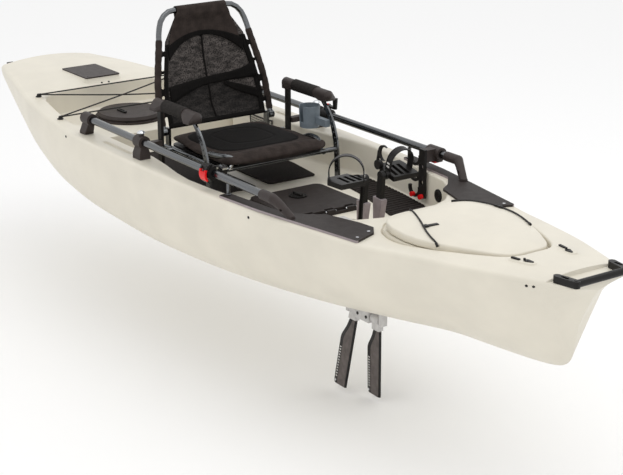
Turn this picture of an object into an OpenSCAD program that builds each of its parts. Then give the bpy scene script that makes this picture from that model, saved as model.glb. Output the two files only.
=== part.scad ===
// Pedal-drive sit-on-top fishing kayak.
// Millimetres. +X is the bow, +Y is port, +Z is up; z = 0 is the flat of the keel, x = 0 is mid-length.

/* [Hull lines] */
// Length of the hull from the transom to the stem, which the places along it follow
hull_len = 3638; // [3300:1:4000]
// Half-beam at the gunwale, as pairs of station and width
beam_line = [[-1806, 196], [-1790, 226], [-1740, 243], [-1600, 284], [-1400, 338], [-1150, 401], [-850, 446],
    [-500, 466], [-150, 465], [150, 458], [450, 440], [750, 400], [1050, 353], [1300, 290], [1500, 240],
    [1620, 200], [1700, 171], [1760, 146], [1832, 104]];
// Height of the gunwale, as pairs of station and height
sheer_line = [[-1806, 406], [-1600, 405], [-1400, 398], [-1150, 388], [-850, 374], [-650, 366], [1096, 366],
    [1300, 378], [1500, 387], [1700, 395], [1832, 400]];
// Height of the keel and stem, as pairs of station and height
keel_line = [[-1806, 214], [-1740, 176], [-1600, 112], [-1400, 58], [-1150, 24], [-850, 6], [-600, 0],
    [500, 0], [750, 4], [1050, 22], [1300, 30], [1500, 44], [1620, 56], [1680, 68], [1711, 82], [1736, 111],
    [1747, 168], [1757, 217], [1783, 277], [1816, 338], [1832, 362]];
// Fullness of the sections: 4 is boxy, 2 is round, 1 is a straight vee
full_line = [[-1806, 1.7], [-1600, 1.85], [-1400, 2.1], [-1150, 2.5], [-850, 3.1], [-500, 3.6], [-150, 4],
    [150, 3.7], [450, 3.1], [750, 2.5], [1050, 1.95], [1300, 1.35], [1500, 1.3], [1620, 1.2], [1711, 1],
    [1832, 0.9]];
// Crown of the deck at the centreline
crown_line = [[-1806, 18], [-1300, 24], [-1210, 12], [-1100, 0], [1096, 0], [1250, 10], [1500, 14],
    [1832, 6]];
// Radius of the gunwale edge
gunwale_r = 16; // [8:1:24]
// Thickness of the moulded shell
wall = 6; // [4:0.5:10]

/* [Deck and floor] */
// Height of the gunwale deck
deck_z = 366; // [360:1:372]
// Height of the cockpit floor
floor_z = 238; // [200:1:260]
// Height of the cargo well floor
well_z = 296; // [270:1:320]
// Half-width of the drive well
drive_well_w = 47; // [46:1:60]

/* [Rails] */
// Distance of each rail from the centreline
rail_y = 402; // [380:1:410]
// Height of the rail axis
rail_z = 430; // [420:1:445]
// Radius of the rail tube
rail_r = 14; // [12:0.5:18]
// Rear and front ends of the rail tube
rail_x = [-600, 662];
// Gap between a rail and a ring around it
ring_gap = 0.4; // [0.3:0.1:1]
// Thickness of the mounting boards
board_t = 8; // [5:1:12]

/* [Seat] */
// Height of the seat base
seat_z = 370; // [340:1:390]
// Thickness of the cushion
cushion_t = 34; // [25:1:60]
// Recline of the back
recline = 15; // [5:1:30]
// Distance of the seat sides from the centreline
side_y = 287; // [280:1:300]
// Height of the underside of the armrests
arm_z = 530; // [500:1:550]

/* [Drive] */
// Crank axis, station and height
crank_axis = [700, 140];
// Top of the crank arm, station and height
crank_top = [727, 442];
// Height of the fin shaft
fin_z = -75; // [-90:1:-60]
// Length of the fins below the shaft
fin_len = 296; // [200:1:320]
// Sideways tilt of the rear fin at rest
rear_tilt = -11; // [-15:1:0]
// Running clearance of a shaft in its hole
run_fit = 0.05; // [0.01:0.01:0.1]

/* [Hidden] */
$fn = 40;

ivory = [0.86, 0.84, 0.77];
dark = [0.27, 0.25, 0.24];
black = [0.08, 0.08, 0.08];
grey = [0.42, 0.43, 0.45];
pale = [0.72, 0.71, 0.70];
red = [0.80, 0.08, 0.06];
elastic_r = 3;
board_top = deck_z + board_t;
rail_bore = rail_r + ring_gap;
transom_x = beam_line[0][0];
stem_x = beam_line[len(beam_line) - 1][0];
shelf_z = 392;
rail_end = [st(rail_x[0]), st(rail_x[1])];
seat_x = -185;
hook_x = 1600;
round_x = st(-1000);
centre_x = 320;
pad_x = st(-1350);
hinge_x = -285;
hinge_z = 420;
back_y = 247;
back_top = 457;
centre_hinge = [476, 252];
rack_x = st(575);
rack_y = 346;
pocket_y = 352;

// Station of a place that the tables give at their own length
function st(x) = x * hull_len / (beam_line[len(beam_line) - 1][0] - beam_line[0][0]);
function plan(half) = [for (p = half) [st(p[0]), p[1]]];
module at(x) {
    translate([st(x) - x, 0, 0]) children();
}

// Smooth curve through a list of pairs, without overshoot
function seg(t, x, i = 0) = (i >= len(t) - 2 || x < t[i + 1][0]) ? i : seg(t, x, i + 1);
function slope(t, i) = (t[i + 1][1] - t[i][1]) / (t[i + 1][0] - t[i][0]);
function blend(a, b) = a * b <= 0 ? 0 : 2 * a * b / (a + b);
function tang(t, i) = i == 0 ? slope(t, 0) : i == len(t) - 1 ? slope(t, i - 1)
    : blend(slope(t, i - 1), slope(t, i));
function curve(t, x) = let (
        i = seg(t, x), h = t[i + 1][0] - t[i][0],
        u = (min(max(x, t[0][0]), t[len(t) - 1][0]) - t[i][0]) / h)
    t[i][1] * (1 + 2 * u) * (1 - u) * (1 - u) + tang(t, i) * h * u * (1 - u) * (1 - u)
    + t[i + 1][1] * u * u * (3 - 2 * u) + tang(t, i + 1) * h * u * u * (u - 1);

// One side of a hull section from the keel round to the middle of the deck
function half_section(b, s, k, n, c, m, d) = let (top = s - gunwale_r)
    concat(
        [for (j = [0:m]) let (a = 90 * j / m, z = top - (top - k) * pow(cos(a), 2 / n))
            [b * pow(sin(a), 2 / n), z - k < 2.5 ? k : z]],
        [for (a = [30, 60, 90]) [b - gunwale_r + gunwale_r * cos(a), top + gunwale_r * sin(a)]],
        [for (j = [1:d]) let (y = (b - gunwale_r) * (1 - j / d))
            [y, s + c * (1 - pow(y / (b - gunwale_r), 2))]]);
function section(x, w, m, d) = let (
        h = half_section(curve(beam_line, x) - w, curve(sheer_line, x) - w, curve(keel_line, x) + w,
            curve(full_line, x), curve(crown_line, x), m, d),
        q = len(h))
    concat([for (p = h) [st(x), p[0], p[1]]], [for (j = [q - 2:-1:1]) [st(x), -h[j][0], h[j][1]]]);
function hull_side(x, z) = let (
        top = curve(sheer_line, x) - gunwale_r, k = curve(keel_line, x), n = curve(full_line, x),
        v = min(max((top - z) / (top - k), 0), 1))
    curve(beam_line, x) * pow(1 - pow(v, n), 1 / n);

// Skin over a row of closed loops
module skin(loops) {
    n = len(loops[0]);
    m = len(loops);
    polyhedron(
        points = [for (l = loops) each l],
        faces = concat(
            [[for (j = [0:n - 1]) j]],
            [[for (j = [n - 1:-1:0]) (m - 1) * n + j]],
            [for (i = [0:m - 2]) for (j = [0:n - 1]) each [
                [(i + 1) * n + j, (i + 1) * n + (j + 1) % n, i * n + (j + 1) % n],
                [(i + 1) * n + j, i * n + (j + 1) % n, i * n + j]]]));
}

// Round bar along a path of points
function unit(v) = v / norm(v);
function tangent(p, i) = i == 0 ? unit(p[1] - p[0]) : i == len(p) - 1 ? unit(p[i] - p[i - 1])
    : unit(unit(p[i + 1] - p[i]) + unit(p[i] - p[i - 1]));
module rod(path, r, sides, ref) {
    skin([for (i = [0:len(path) - 1]) let (t = tangent(path, i), u = unit(cross(ref, t)), v = cross(t, u))
        [for (j = [0:sides - 1]) path[i] + r * (cos(360 * j / sides) * u + sin(360 * j / sides) * v)]]);
}

module side(s) {
    if (s > 0) children();
    else mirror([0, 1, 0]) children();
}
module both() {
    children();
    mirror([0, 1, 0]) children();
}
module box(a, b) {
    translate(a) cube(b - a);
}
module bar_x(x0, x1, r) {
    translate([x0, 0, 0]) rotate([0, 90, 0]) cylinder(h = x1 - x0, r = r);
}
module bar_y(y0, y1, r) {
    translate([0, y1, 0]) rotate([90, 0, 0]) cylinder(h = y1 - y0, r = r);
}
module whole(half) {
    polygon(concat(half, [for (i = [len(half) - 1:-1:0]) [half[i][0], -half[i][1]]]));
}
module slab(z0, z1) {
    translate([0, 0, z0]) linear_extrude(z1 - z0) children();
}

// Plan shapes
cockpit_half = plan([[-740, 300], [-700, 340], [-620, 352], [-180, 352], [-60, 368], [60, 390], [160, 400],
    [300, 392], [450, 376], [600, 352], [700, 336], [800, 276], [880, 194], [914, 100]]);
cargo_half = plan([[-1206, 210], [-1190, 290], [-1150, 322], [-1000, 352], [-850, 378], [-770, 384],
    [-738, 362], [-730, 300]]);
bow_lid_half = plan([[995, 80], [1000, 126], [1016, 162], [1046, 190], [1100, 209], [1180, 219], [1240, 213],
    [1310, 192], [1420, 143], [1496, 102], [1526, 76], [1536, 44]]);
board_half = plan([[408, 432], [400, 388], [700, 358], [766, 302], [800, 252], [935, 214], [1002, 206],
    [1046, 238], [1086, 335], [872, 371], [760, 390], [612, 413]]);
board_screws = plan([[1028, 246], [1056, 312]]);
mat_fwd_half = plan([[112, 268], [330, 240], [470, 206], [600, 170], [652, 168], [660, 300], [590, 340],
    [440, 364], [300, 378], [160, 384], [130, 376]]);
mat_aft_half = plan([[-620, 30], [36, 30], [36, 244], [-150, 268], [-620, 268]]);
// Drain holes through the floor, station and distance from the centreline
drains = plan([[-330, 290]]);
drain_r = 14;

module hull_openings(g) {
    slab(floor_z - g, 600) offset(r = g) whole(cockpit_half);
    slab(well_z - g, 600) offset(r = g) whole(cargo_half);
    at(crank_axis[0]) hull() for (x = [580, 830], y = [-1, 1])
        translate([x, y * (drive_well_w - 20), -20 - g]) cylinder(h = 400, r = 20 + g);
}
module hull_cuts() {
    // groove around the bow lid, shelf under the bow handle, slots in the gunwale
    difference() {
        slab(372, 600) offset(r = 12) whole(bow_lid_half);
        slab(300, 384) offset(r = -14) whole(bow_lid_half);
    }
    slab(384, 600) offset(r = -13) whole(bow_lid_half);
    slab(300, 600) offset(r = -44) whole(bow_lid_half);
    at(stem_x) box([stem_x - 80, -200, shelf_z], [stem_x + 60, 200, shelf_z + 100]);
    both() hull() for (x = [-470, -270]) translate([st(x), 404, deck_z - 9])
        cylinder(h = 40, r = 9, $fn = 24);
    translate([round_x, 0, well_z - 30]) cylinder(h = 60, r = 108, $fn = 64);
    at(centre_x) hull() for (x = [225, 415], y = [-105, 105]) translate([x, y, floor_z - 30])
        cylinder(h = 60, r = 20, $fn = 24);
    both() for (p = drains) translate([p[0], p[1], -20]) cylinder(h = 400, r = drain_r, $fn = 24);
}
module hull_bosses() {
    // flat landings for the deck fittings
    slab(300, 384) offset(r = -14) whole(bow_lid_half);
    hull() for (x = [-102, 102], y = [-72, 72]) translate([pad_x + x, y, 390])
        cylinder(h = 36, r = 12, $fn = 24);
    both() for (p = [eye_aft, eye_fwd]) hull() for (x = [-8, 8]) translate(p + [x, 0, -27])
        cylinder(h = 27, r = 16, $fn = 24);
    both() at(hook_x) hull() for (x = [1606, 1626]) translate([x, 84, 370])
        cylinder(h = 36, r = 14, $fn = 24);
    both() at(hook_x) hull() for (x = [1560, 1585]) translate([x, 98, 370])
        cylinder(h = 34, r = 10, $fn = 24);
}
module hull_lining() {
    both() for (p = drains) translate([p[0], p[1], -20]) cylinder(h = 400, r = drain_r + wall, $fn = 24);
}
function stations(a) = [for (x = [transom_x, -1798, -1786, -1766, -1740, -1680, -1600, -1500, -1400, -1300,
    -1200, -1100, -1000, -900, -800, -700, -650, -600, -450, -300, -150, 0, 150, 300, 400, 500, 600, 700, 800,
    900, 1000, 1096, 1160, 1240, 1320, 1400, 1480, 1550, 1610, 1660, 1690, 1711, 1725, 1736, 1742, 1747, 1752,
    1757, 1770, 1783, 1800, 1816, stem_x]) if (x >= a[0] && x <= a[1]) x];
module hull_node() {
    color(ivory) difference() {
        union() {
            skin([for (x = stations([transom_x, stem_x])) section(x, 0, 12, 4)]);
            hull_bosses();
        }
        hull_openings(0);
        hull_cuts();
        difference() {
            skin([for (x = stations([transom_x + 16, stem_x - 140])) section(x, wall, 8, 3)]);
            hull_openings(wall);
            hull_lining();
            difference() {
                slab(360, 600) offset(r = 12 + wall) whole(bow_lid_half);
                slab(300, 700) offset(r = -38) whole(bow_lid_half);
            }
        }
    }
}

// Handles
module bow_handle() {
    color(black) translate([st(stem_x), 0, shelf_z]) {
        translate([8, 0, 12]) bar_y(-104, 104, 12);
        both() difference() {
            hull() {
                translate([8, 100, 0]) cylinder(h = 22, r = 12);
                translate([-60, 112, 0]) cylinder(h = 22, r = 12);
            }
            hull() for (x = [-42, -20]) translate([x, 108, -12]) cylinder(h = 50, r = 5);
        }
    }
}
module stern_handle() {
    color(dark) translate([st(transom_x), 0, 0]) {
        translate([-20, 0, 396]) bar_y(-172, 172, 8);
        both() box([-30, 148, 382], [0, 178, 404]);
    }
}

// Rails and what holds them
module rail(s) {
    color(grey) side(s) translate([0, rail_y, rail_z]) difference() {
        bar_x(rail_end[0], rail_end[1], rail_r);
        bar_x(rail_end[0] - 1, rail_end[1] + 1, rail_r - 3);
    }
}
module rear_bracket(s) {
    color(dark) side(s) difference() {
        union() {
            translate([0, rail_y, rail_z]) bar_x(rail_end[0] - 34, rail_end[0] + 26, 24);
            hull() {
                box([rail_end[0] - 30, rail_y - 14, rail_z - 18],
                    [rail_end[0] + 16, rail_y + 14, rail_z - 12]);
                box([rail_end[0] - 49, rail_y - 20, deck_z], [rail_end[0] - 8, rail_y + 20, deck_z + 8]);
            }
        }
        translate([0, rail_y, rail_z]) bar_x(rail_end[0], rail_end[0] + 40, rail_bore);
    }
}
module mid_bracket(s) {
    color(dark) side(s) at(seat_x) difference() {
        union() {
            translate([0, rail_y, rail_z]) bar_x(-210, -160, 25);
            hull() {
                box([-208, rail_y - 14, rail_z - 20], [-162, rail_y + 14, rail_z - 14]);
                box([-212, rail_y - 22, deck_z], [-158, rail_y + 24, deck_z + 20]);
            }
            box([-234, side_y + 12, 392], [-206, rail_y - 6, 412]);
            translate([-185, rail_y, rail_z + 20]) cylinder(h = 14, r = 11);
        }
        translate([0, rail_y, rail_z]) bar_x(-240, -130, rail_bore);
    }
    color(pale) side(s) at(seat_x) translate([-185, rail_y, rail_z + 34]) intersection() {
        translate([0, 0, -8]) sphere(r = 18);
        cylinder(h = 12, r = 17);
    }
}
module elbow(s) {
    color(dark) side(s) difference() {
        union() {
            translate([0, rail_y, rail_z]) bar_x(rail_end[1] - 24, rail_end[1] + 40, 18);
            hull() {
                translate([rail_end[1] + 40, rail_y, rail_z]) sphere(r = 18, $fn = 32);
                translate([rail_end[1] + 62, rail_y - 10, rail_z - 14]) sphere(r = 16, $fn = 32);
            }
            hull() {
                translate([rail_end[1] + 62, rail_y - 10, rail_z - 14]) sphere(r = 16, $fn = 32);
                translate([rail_end[1] + 104, 374, board_top]) cylinder(h = 8, r = 14, $fn = 32);
            }
            translate([rail_end[1] + 104, 374, board_top]) cylinder(h = 5, r = 16);
        }
        translate([0, rail_y, rail_z]) bar_x(rail_end[1] - 60, rail_end[1], rail_bore);
        translate([rail_end[1] + 82, 300, 400]) bar_y(0, 110, 5);
    }
}
module board(s) {
    color(dark) side(s) difference() {
        slab(deck_z, board_top) offset(r = 6) offset(r = -6) polygon(board_half);
        for (p = board_screws) translate([p[0], p[1], board_top - 3]) cylinder(h = 5, r = 6);
    }
    color(pale) side(s) for (p = board_screws)
        translate([p[0], p[1], board_top - 3]) cylinder(h = 4, r = 5.6);
}
module rail_prop(s) {
    color(grey) side(s) {
        translate([st(422), rail_y - 2, board_top]) cylinder(h = 4, r = 11);
        translate([st(422), rail_y - 2, board_top]) cylinder(h = rail_z - rail_r - 0.4 - board_top, r = 7);
    }
}

// Mats
module mat_fwd(s) {
    color(black) side(s) difference() {
        slab(floor_z, floor_z + 6) offset(r = 14) offset(r = -14) polygon(mat_fwd_half);
        for (x = [st(150):22:st(640)]) box([x, 100, floor_z + 4], [x + 8, 500, floor_z + 8]);
        at(seat_x) translate([post_x(floor_z), side_y + 4, floor_z - 1]) cylinder(h = 10, r = 22);
    }
}
module mat_aft(s) {
    color(black) side(s) difference() {
        slab(floor_z, floor_z + 6) offset(r = 16) offset(r = -16)
            polygon(mat_aft_half);
        translate([drains[0][0], drains[0][1], floor_z - 1]) cylinder(h = 10, r = drain_r + 12);
    }
}

// Hatches
module round_hatch_ring() {
    color(dark) translate([round_x, 0, well_z]) difference() {
        union() {
            cylinder(h = 8, r = 150, $fn = 72);
            cylinder(h = 16, r = 136, $fn = 72);
        }
        translate([0, 0, -1]) cylinder(h = 40, r = 112, $fn = 72);
        for (a = [0:45:315]) rotate([0, 0, a + 10]) translate([143, 0, 5])
            cylinder(h = 10, r = 3.5, $fn = 16);
    }
}
module round_hatch_lid() {
    color(dark) translate([round_x, 0, well_z]) difference() {
        union() {
            translate([0, 0, 16]) cylinder(h = 12, r1 = 140, r2 = 132, $fn = 72);
            translate([0, 0, 2]) cylinder(h = 16, r = 112 - run_fit, $fn = 72);
            hull() for (x = [-26, 26]) translate([x, -40, 27]) cylinder(h = 8, r = 9, $fn = 24);
            rotate([0, 0, 60]) translate([-140, -10, 18]) cube([280, 20, 8]);
        }
        translate([0, 0, -1]) cylinder(h = 14, r = 100, $fn = 72);
        hull() for (x = [-20, 20]) translate([x, -40, 31]) cylinder(h = 8, r = 4, $fn = 24);
    }
}
module rounded(x0, x1, w, r) {
    translate([(x0 + x1) / 2, 0]) offset(r = r) square([x1 - x0 - 2 * r, 2 * w - 2 * r], center = true);
}
module centre_hatch_frame() {
    color(dark) at(centre_x) {
        difference() {
            slab(floor_z, floor_z + 10) rounded(166, 482, 166, 34);
            slab(floor_z - 1, floor_z + 20) rounded(204, 436, 126, 20);
        }
        for (y = [-90, 0, 90]) difference() {
            box([centre_hinge[0] - 6, y - 16, floor_z + 9], [482, y + 16, floor_z + 19]);
            translate([centre_hinge[0], 0, centre_hinge[1]]) bar_y(y - 20, y + 20, 2);
        }
    }
}
module centre_hatch_lid() {
    color(dark) at(centre_x) difference() {
        union() {
            slab(floor_z + 10, floor_z + 20) rounded(170, centre_hinge[0] - 8, 160, 30);
            slab(floor_z + 2, floor_z + 11) rounded(208, 432, 122, 18);
        }
        slab(floor_z, floor_z + 12) rounded(216, 424, 114, 14);
        for (y = [-90, 0, 90]) translate([0, y, 0])
            box([centre_hinge[0] - 20, -18, floor_z + 5], [490, 18, floor_z + 30]);
    }
}
module centre_latch() {
    color(black) at(centre_x) translate([266, 0, floor_z + 20]) difference() {
        union() {
            cylinder(h = 5, r = 34);
            cylinder(h = 12, r = 12);
            hull() for (x = [-22, 22]) translate([x, 0, 0]) cylinder(h = 13, r = 7);
        }
        for (a = [45:90:315]) rotate([0, 0, a]) translate([26, 0, 3]) cylinder(h = 10, r = 4);
    }
}
module bow_hatch_lid() {
    color(ivory) difference() {
        union() {
            slab(376, 402) whole(bow_lid_half);
            hull() {
                slab(401, 402) offset(r = -1) whole(bow_lid_half);
                slab(409, 410) offset(r = -26) whole(bow_lid_half);
                slab(414, 415) offset(r = -80) whole(bow_lid_half);
            }
        }
        slab(370, 384) offset(r = -12) whole(bow_lid_half);
        slab(370, 396) offset(r = -48) whole(bow_lid_half);
        at(hook_x) box([1486, -200, 370], [1600, 200, 384]);
    }
}
module bow_elastic() {
    color(black) at(1180) {
        rod([[1002, -54, 407.4], [1011, -58, 410.6], [1030, -67, 414.8], [1060, -82, 417.6],
            [1102, -103, 418.6], [1146, -125, 418.6], [1185, -146, 418.2], [1225, -167, 416.4],
            [1262, -185, 412.2], [1276, -192, 409.4]], elastic_r, 8, [0, 0, 1]);
        hull() {
            box([1182, -147, 415.2], [1202, -136, 421]);
            box([1190, -98, 415.2], [1204, -90, 419]);
        }
        rod([[1013, 118, 410.2], [1024, 146, 410.2], [1042, 170, 410.2], [1070, 187, 410.2],
            [1114, 200, 410.2], [1180, 206, 410.2], [1226, 203, 410.2]], elastic_r, 8, [0, 0, 1]);
        hull() for (x = [1136, 1164]) translate([x, 204, 408.4]) cylinder(h = 6.2, r = 5);
    }
}
module bow_hooks() {
    color(black) both() at(hook_x) {
        difference() {
            hull() {
                translate([1610, 84, 406]) cylinder(h = 3, r = 9);
                translate([1630, 80, 406]) cylinder(h = 3, r = 4);
            }
            translate([1612, 84, 400]) cylinder(h = 20, r = 2.5);
        }
        translate([1600, 86, 406]) cylinder(h = 7, r = 4);
        translate([1562, 98, 404]) rotate([0, 0, -8]) box([-6, -4, 0], [26, 4, 5]);
    }
}

// Cargo well elastics and deck fittings
eye_aft = [st(-1174), 342, 396];
eye_fwd = [st(-844), 408, 378];
function flip(p) = [p[0], -p[1], p[2]];
module cargo_eyes() {
    color(black) both() for (p = [eye_aft, eye_fwd]) translate(p) {
        cylinder(h = 4, r = 13);
        translate([0, 0, 4]) cylinder(h = 10, r1 = 9, r2 = 6);
    }
}
module cargo_elastics() {
    u = [0, 0, 10];
    color(black) {
        rod([eye_aft + u, flip(eye_aft) + u], elastic_r, 8, [0, 0, 1]);
        rod([eye_fwd + u, flip(eye_fwd) + u], elastic_r, 8, [0, 0, 1]);
        rod([eye_aft + u, ([st(-1014), 0, 398]), flip(eye_fwd) + u], elastic_r, 8, [0, 0, 1]);
        rod([flip(eye_aft) + u, ([st(-1014), 0, 390]), eye_fwd + u], elastic_r, 8, [0, 0, 1]);
    }
}
module stern_pad() {
    color(dark) translate([pad_x, 0, 0]) difference() {
        slab(426, 431) offset(r = 8) square([216, 152], center = true);
        for (y = [-66, 66], x = [-98, 98]) translate([x, y, 429]) cylinder(h = 5, r = 4);
    }
}
module hull_screws() {
    color(black) both() for (p = [[-700, 345], [585, 338], [1700, 372], [1722, 374]])
        translate([st(p[0]), hull_side(p[0], p[1]) - 4, p[1]]) bar_y(0, 6, 5);
    color(black) both() translate([st(-1216), 17, 398]) cylinder(h = 10, r = 4);
    color(black) both() for (x = [-380, -250]) translate([st(x), 351, 320]) bar_y(-3, 3, 4);
}
module rod_ports() {
    wall_run = cockpit_half[10] - cockpit_half[9];
    foot = cockpit_half[9] + 0.72 * wall_run;
    turn = atan2(wall_run[1], wall_run[0]);
    color(black) both() translate([foot[0], foot[1], 300]) rotate([0, 0, turn]) difference() {
        union() {
            bar_y(-6, 0, 24);
            bar_y(-9, -5, 18);
        }
        bar_y(-20, -7, 12);
    }
}

// Fittings on the rails
module rail_ring(x0, x1, r) {
    difference() {
        union() {
            translate([0, rail_y, rail_z]) bar_x(x0, x1, r);
            children();
        }
        translate([0, rail_y, rail_z]) bar_x(x0 - 40, x1 + 40, rail_bore);
    }
}
module rack_clamp() {
    color(dark) rail_ring(rack_x - 36, rack_x + 34, 24) {
        box([rack_x - 17, rack_y, rail_z - 26], [rack_x + 17, rail_y - 4, rail_z + 20]);
        box([rack_x - 11, rail_y + 4, rail_z - 10], [rack_x + 11, rail_y + 34, rail_z + 10]);
        box([rack_x - 30, rail_y - 14, rail_z - 30], [rack_x + 28, rail_y + 10, rail_z - 16]);
    }
    color(red) box([rack_x - 28, rail_y - 12, rail_z - 38], [rack_x + 8, rail_y + 6, rail_z - 30]);
}
module rod_rack() {
    color(black) difference() {
        union() {
            box([rack_x - 17, rack_y - 10, rail_z - 162], [rack_x + 17, rack_y, rail_z + 22]);
            for (drop = [134, 74, 14]) translate([rack_x - 43, rack_y, rail_z - drop]) rotate([90, 0, 0])
                difference() {
                    cylinder(h = 10, r = 34);
                    translate([0, 0, -1]) cylinder(h = 12, r = 23);
                    translate([-50, 8, -1]) cube([76, 50, 12]);
                }
        }
        for (drop = [104, 44]) translate([rack_x, rack_y, rail_z - drop]) bar_y(-20, 20, 9);
    }
    color(red) for (x = [-43, 5]) translate([rack_x + x, rack_y - 10, rail_z - 156]) bar_y(-14, 0, 9);
}
module steering_clamp() {
    color(black) at(-108) rail_ring(-130, -86, 25) {
        translate([-108, rail_y, rail_z + 16]) cylinder(h = 16, r = 15);
    }
}
module steering_lever() {
    color(black) at(-108) translate([-108, rail_y, rail_z + 32.4]) {
        cylinder(h = 10, r = 14);
        hull() {
            cylinder(h = 9, r = 9);
            translate([52, 0, 0]) cylinder(h = 9, r = 7);
        }
        translate([52, 0, 0]) cylinder(h = 44, r1 = 8, r2 = 11);
    }
    color(red) at(-108) translate([-108, rail_y, rail_z + 42]) cylinder(h = 3, r = 6);
}
module lever_clamp() {
    color(black) side(-1) at(316) rail_ring(296, 336, 27) {
        box([302, rail_y - 56, 412], [330, rail_y - 12, 448]);
        difference() {
            box([304, rail_y + 4, 444], [328, rail_y + 30, 462]);
            translate([0, rail_y + 24, 455]) bar_x(290, 340, 3);
        }
    }
    color(pale) side(-1) at(316) {
        box([344, rail_y - 34, 449], [372, rail_y - 10, 455]);
        box([322, rail_y - 34, 448], [372, rail_y - 28, 455]);
        translate([372, rail_y - 46, 455]) rotate([0, 90, 0]) cylinder(h = 6, r = 7);
        box([322, rail_y - 46, 447], [378, rail_y - 32, 450]);
    }
}
module clamp_lever() {
    color(red) side(-1) at(316) {
        translate([0, rail_y + 24, 455]) bar_x(303, 329, 3 - run_fit);
        for (x = [298, 329]) translate([0, rail_y + 24, 455]) bar_x(x, x + 5, 7);
        difference() {
            translate([0, rail_y, rail_z]) bar_x(296, 336, 41);
            translate([0, rail_y, rail_z]) bar_x(290, 340, 34);
            box([280, rail_y - 60, 380], [350, rail_y + 22, 480]);
            box([303.5, rail_y - 60, 440], [328.5, rail_y + 60, 480]);
            box([280, rail_y - 60, 464], [350, rail_y + 60, 490]);
        }
    }
}
module net_pocket() {
    color(black) at(-505) difference() {
        hull() {
            box([-590, pocket_y - 14, 344], [-420, pocket_y, 350]);
            box([-580, pocket_y - 22, 262], [-430, pocket_y, 300]);
        }
        hull() {
            box([-587, pocket_y - 11, 343], [-423, pocket_y - 3, 352]);
            box([-577, pocket_y - 19, 265], [-433, pocket_y - 3, 300]);
        }
    }
}

// Seat
module seat_frame() {
    color(grey) at(seat_x) {
        both() translate([0, 226, seat_z - 13]) bar_x(-306, 116, 11);
        for (x = [-250, post_x(seat_z - 13)]) translate([x, 0, seat_z - 13]) bar_y(-side_y, side_y, 10);
        both() box([-298, 222, seat_z - 18], [-272, 232, 436]);
        both() translate([hinge_x, 0, hinge_z]) bar_y(231, 262, 6 - run_fit);
        slab(seat_z - 6, seat_z) rounded(-290, 130, 216, 30);
    }
}
function pillow(x) = let (
        f = max(0, 1 - pow(max(0, (x - 98) / 68), 2.4)), a = max(0, 1 - pow(max(0, (-250 - x) / 50), 2.4)),
        e = pow(f, 0.42) * pow(a, 0.42), wide = 214 + 22 * min(1, max(0, (x + 230) / 150)))
    [wide * (0.9 + 0.1 * e) - 40 * (1 - f), 0.5 * cushion_t * max(e, 0.12)];
function bulge(x, y) = 7 * (1 - pow(y / 220, 2)) * max(0, 1 - pow((x + 85) / 230, 2))
    + 13 * exp(-pow((x - 126) / 34, 2))
    - 3.5 * exp(-pow((sqrt(pow((x + 105) / 150, 2) + pow(y / 165, 2)) - 1) / 0.05, 2));
module seat_cushion() {
    xs = [-299, -294, -284, -268, -250, -232, -214, -196, -170, -140, -105, -70, -40, -14, 8, 28, 46, 62,
        78, 96, 112, 126, 138, 149, 158, 164.5];
    color(black) at(seat_x) skin([for (x = xs) let (p = pillow(x))
        [for (j = [0:35]) let (
                a = 10 * j, c = cos(a), s = sin(a),
                y = p[0] * sign(c) * pow(abs(c), 0.6), z = p[1] * sign(s) * pow(abs(s), 0.55))
            [x, y, max(seat_z, seat_z + 0.5 * cushion_t + z
                + (s > 0 ? bulge(x, y) * pow(s, 0.6) * p[1] / 17 : 0))]]]);
}
function tube_y(h) = curve([[0, back_y], [110, 246], [340, 206], [392, 195], [457, 120]], h);
module back_place() {
    at(seat_x) translate([hinge_x, 0, hinge_z]) rotate([0, -recline, 0]) children();
}
module seat_back_frame() {
    up = concat([for (h = [0, 60, 115, 165, 215, 265, 315, 340]) [0, tube_y(h), h]],
        [[0, 201, 370], [0, 194, 396], [0, 184, 420], [0, 166, 441], [0, 143, 454], [0, 118, back_top]]);
    down = [for (i = [len(up) - 1:-1:0]) flip(up[i])];
    color(grey) back_place() difference() {
        union() {
            rod(concat(up, [[0, 0, back_top]], down), 11, 14, [1, 0, 0]);
            both() bar_y(237, 258, 15);
        }
        both() bar_y(230, 262, 6);
    }
}
module seat_back_panel() {
    color(black) back_place() {
        skin([for (h = [6, 30, 60, 95, 130, 165, 200, 235, 270, 300, 330, 360, 390, 418, back_top - 15.4])
            let (
                w = h > 340 ? 180 - (h - 340) * 0.66 : tube_y(h) - 26,
                sag = 34 * sin(180 * min(1, h / (back_top + 4))) + 10 * exp(-pow((h - 80) / 40, 2)))
            concat(
                [for (j = [0:14]) let (q = -1 + j / 7) [2 - sag * (1 - q * q), w * q, h]],
                [for (j = [14:-1:0]) let (q = -1 + j / 7) [-2 - sag * (1 - q * q), w * q, h]])]);
        translate([0, 0, back_top]) difference() {
            bar_y(-108, 108, 15);
            bar_y(-120, 120, 11.6);
        }
        both() for (h = [90, 190, 290]) {
            translate([0, tube_y(h), h]) rotate([atan2(tube_y(h - 20) - tube_y(h + 20), 40), 0, 0])
                difference() {
                    translate([0, 0, -12]) cylinder(h = 24, r = 14.5);
                    translate([0, 0, -20]) cylinder(h = 40, r = 11.6);
                }
            box([-3, tube_y(h - 11) - 25.6, h - 11], [0, tube_y(h) - 13.4, h + 11]);
        }
    }
}
function post_x(z) = curve([[floor_z, 114], [315, 111], [376, 105], [443, 84], [490, 57], [arm_z, 16]], z);
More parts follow.
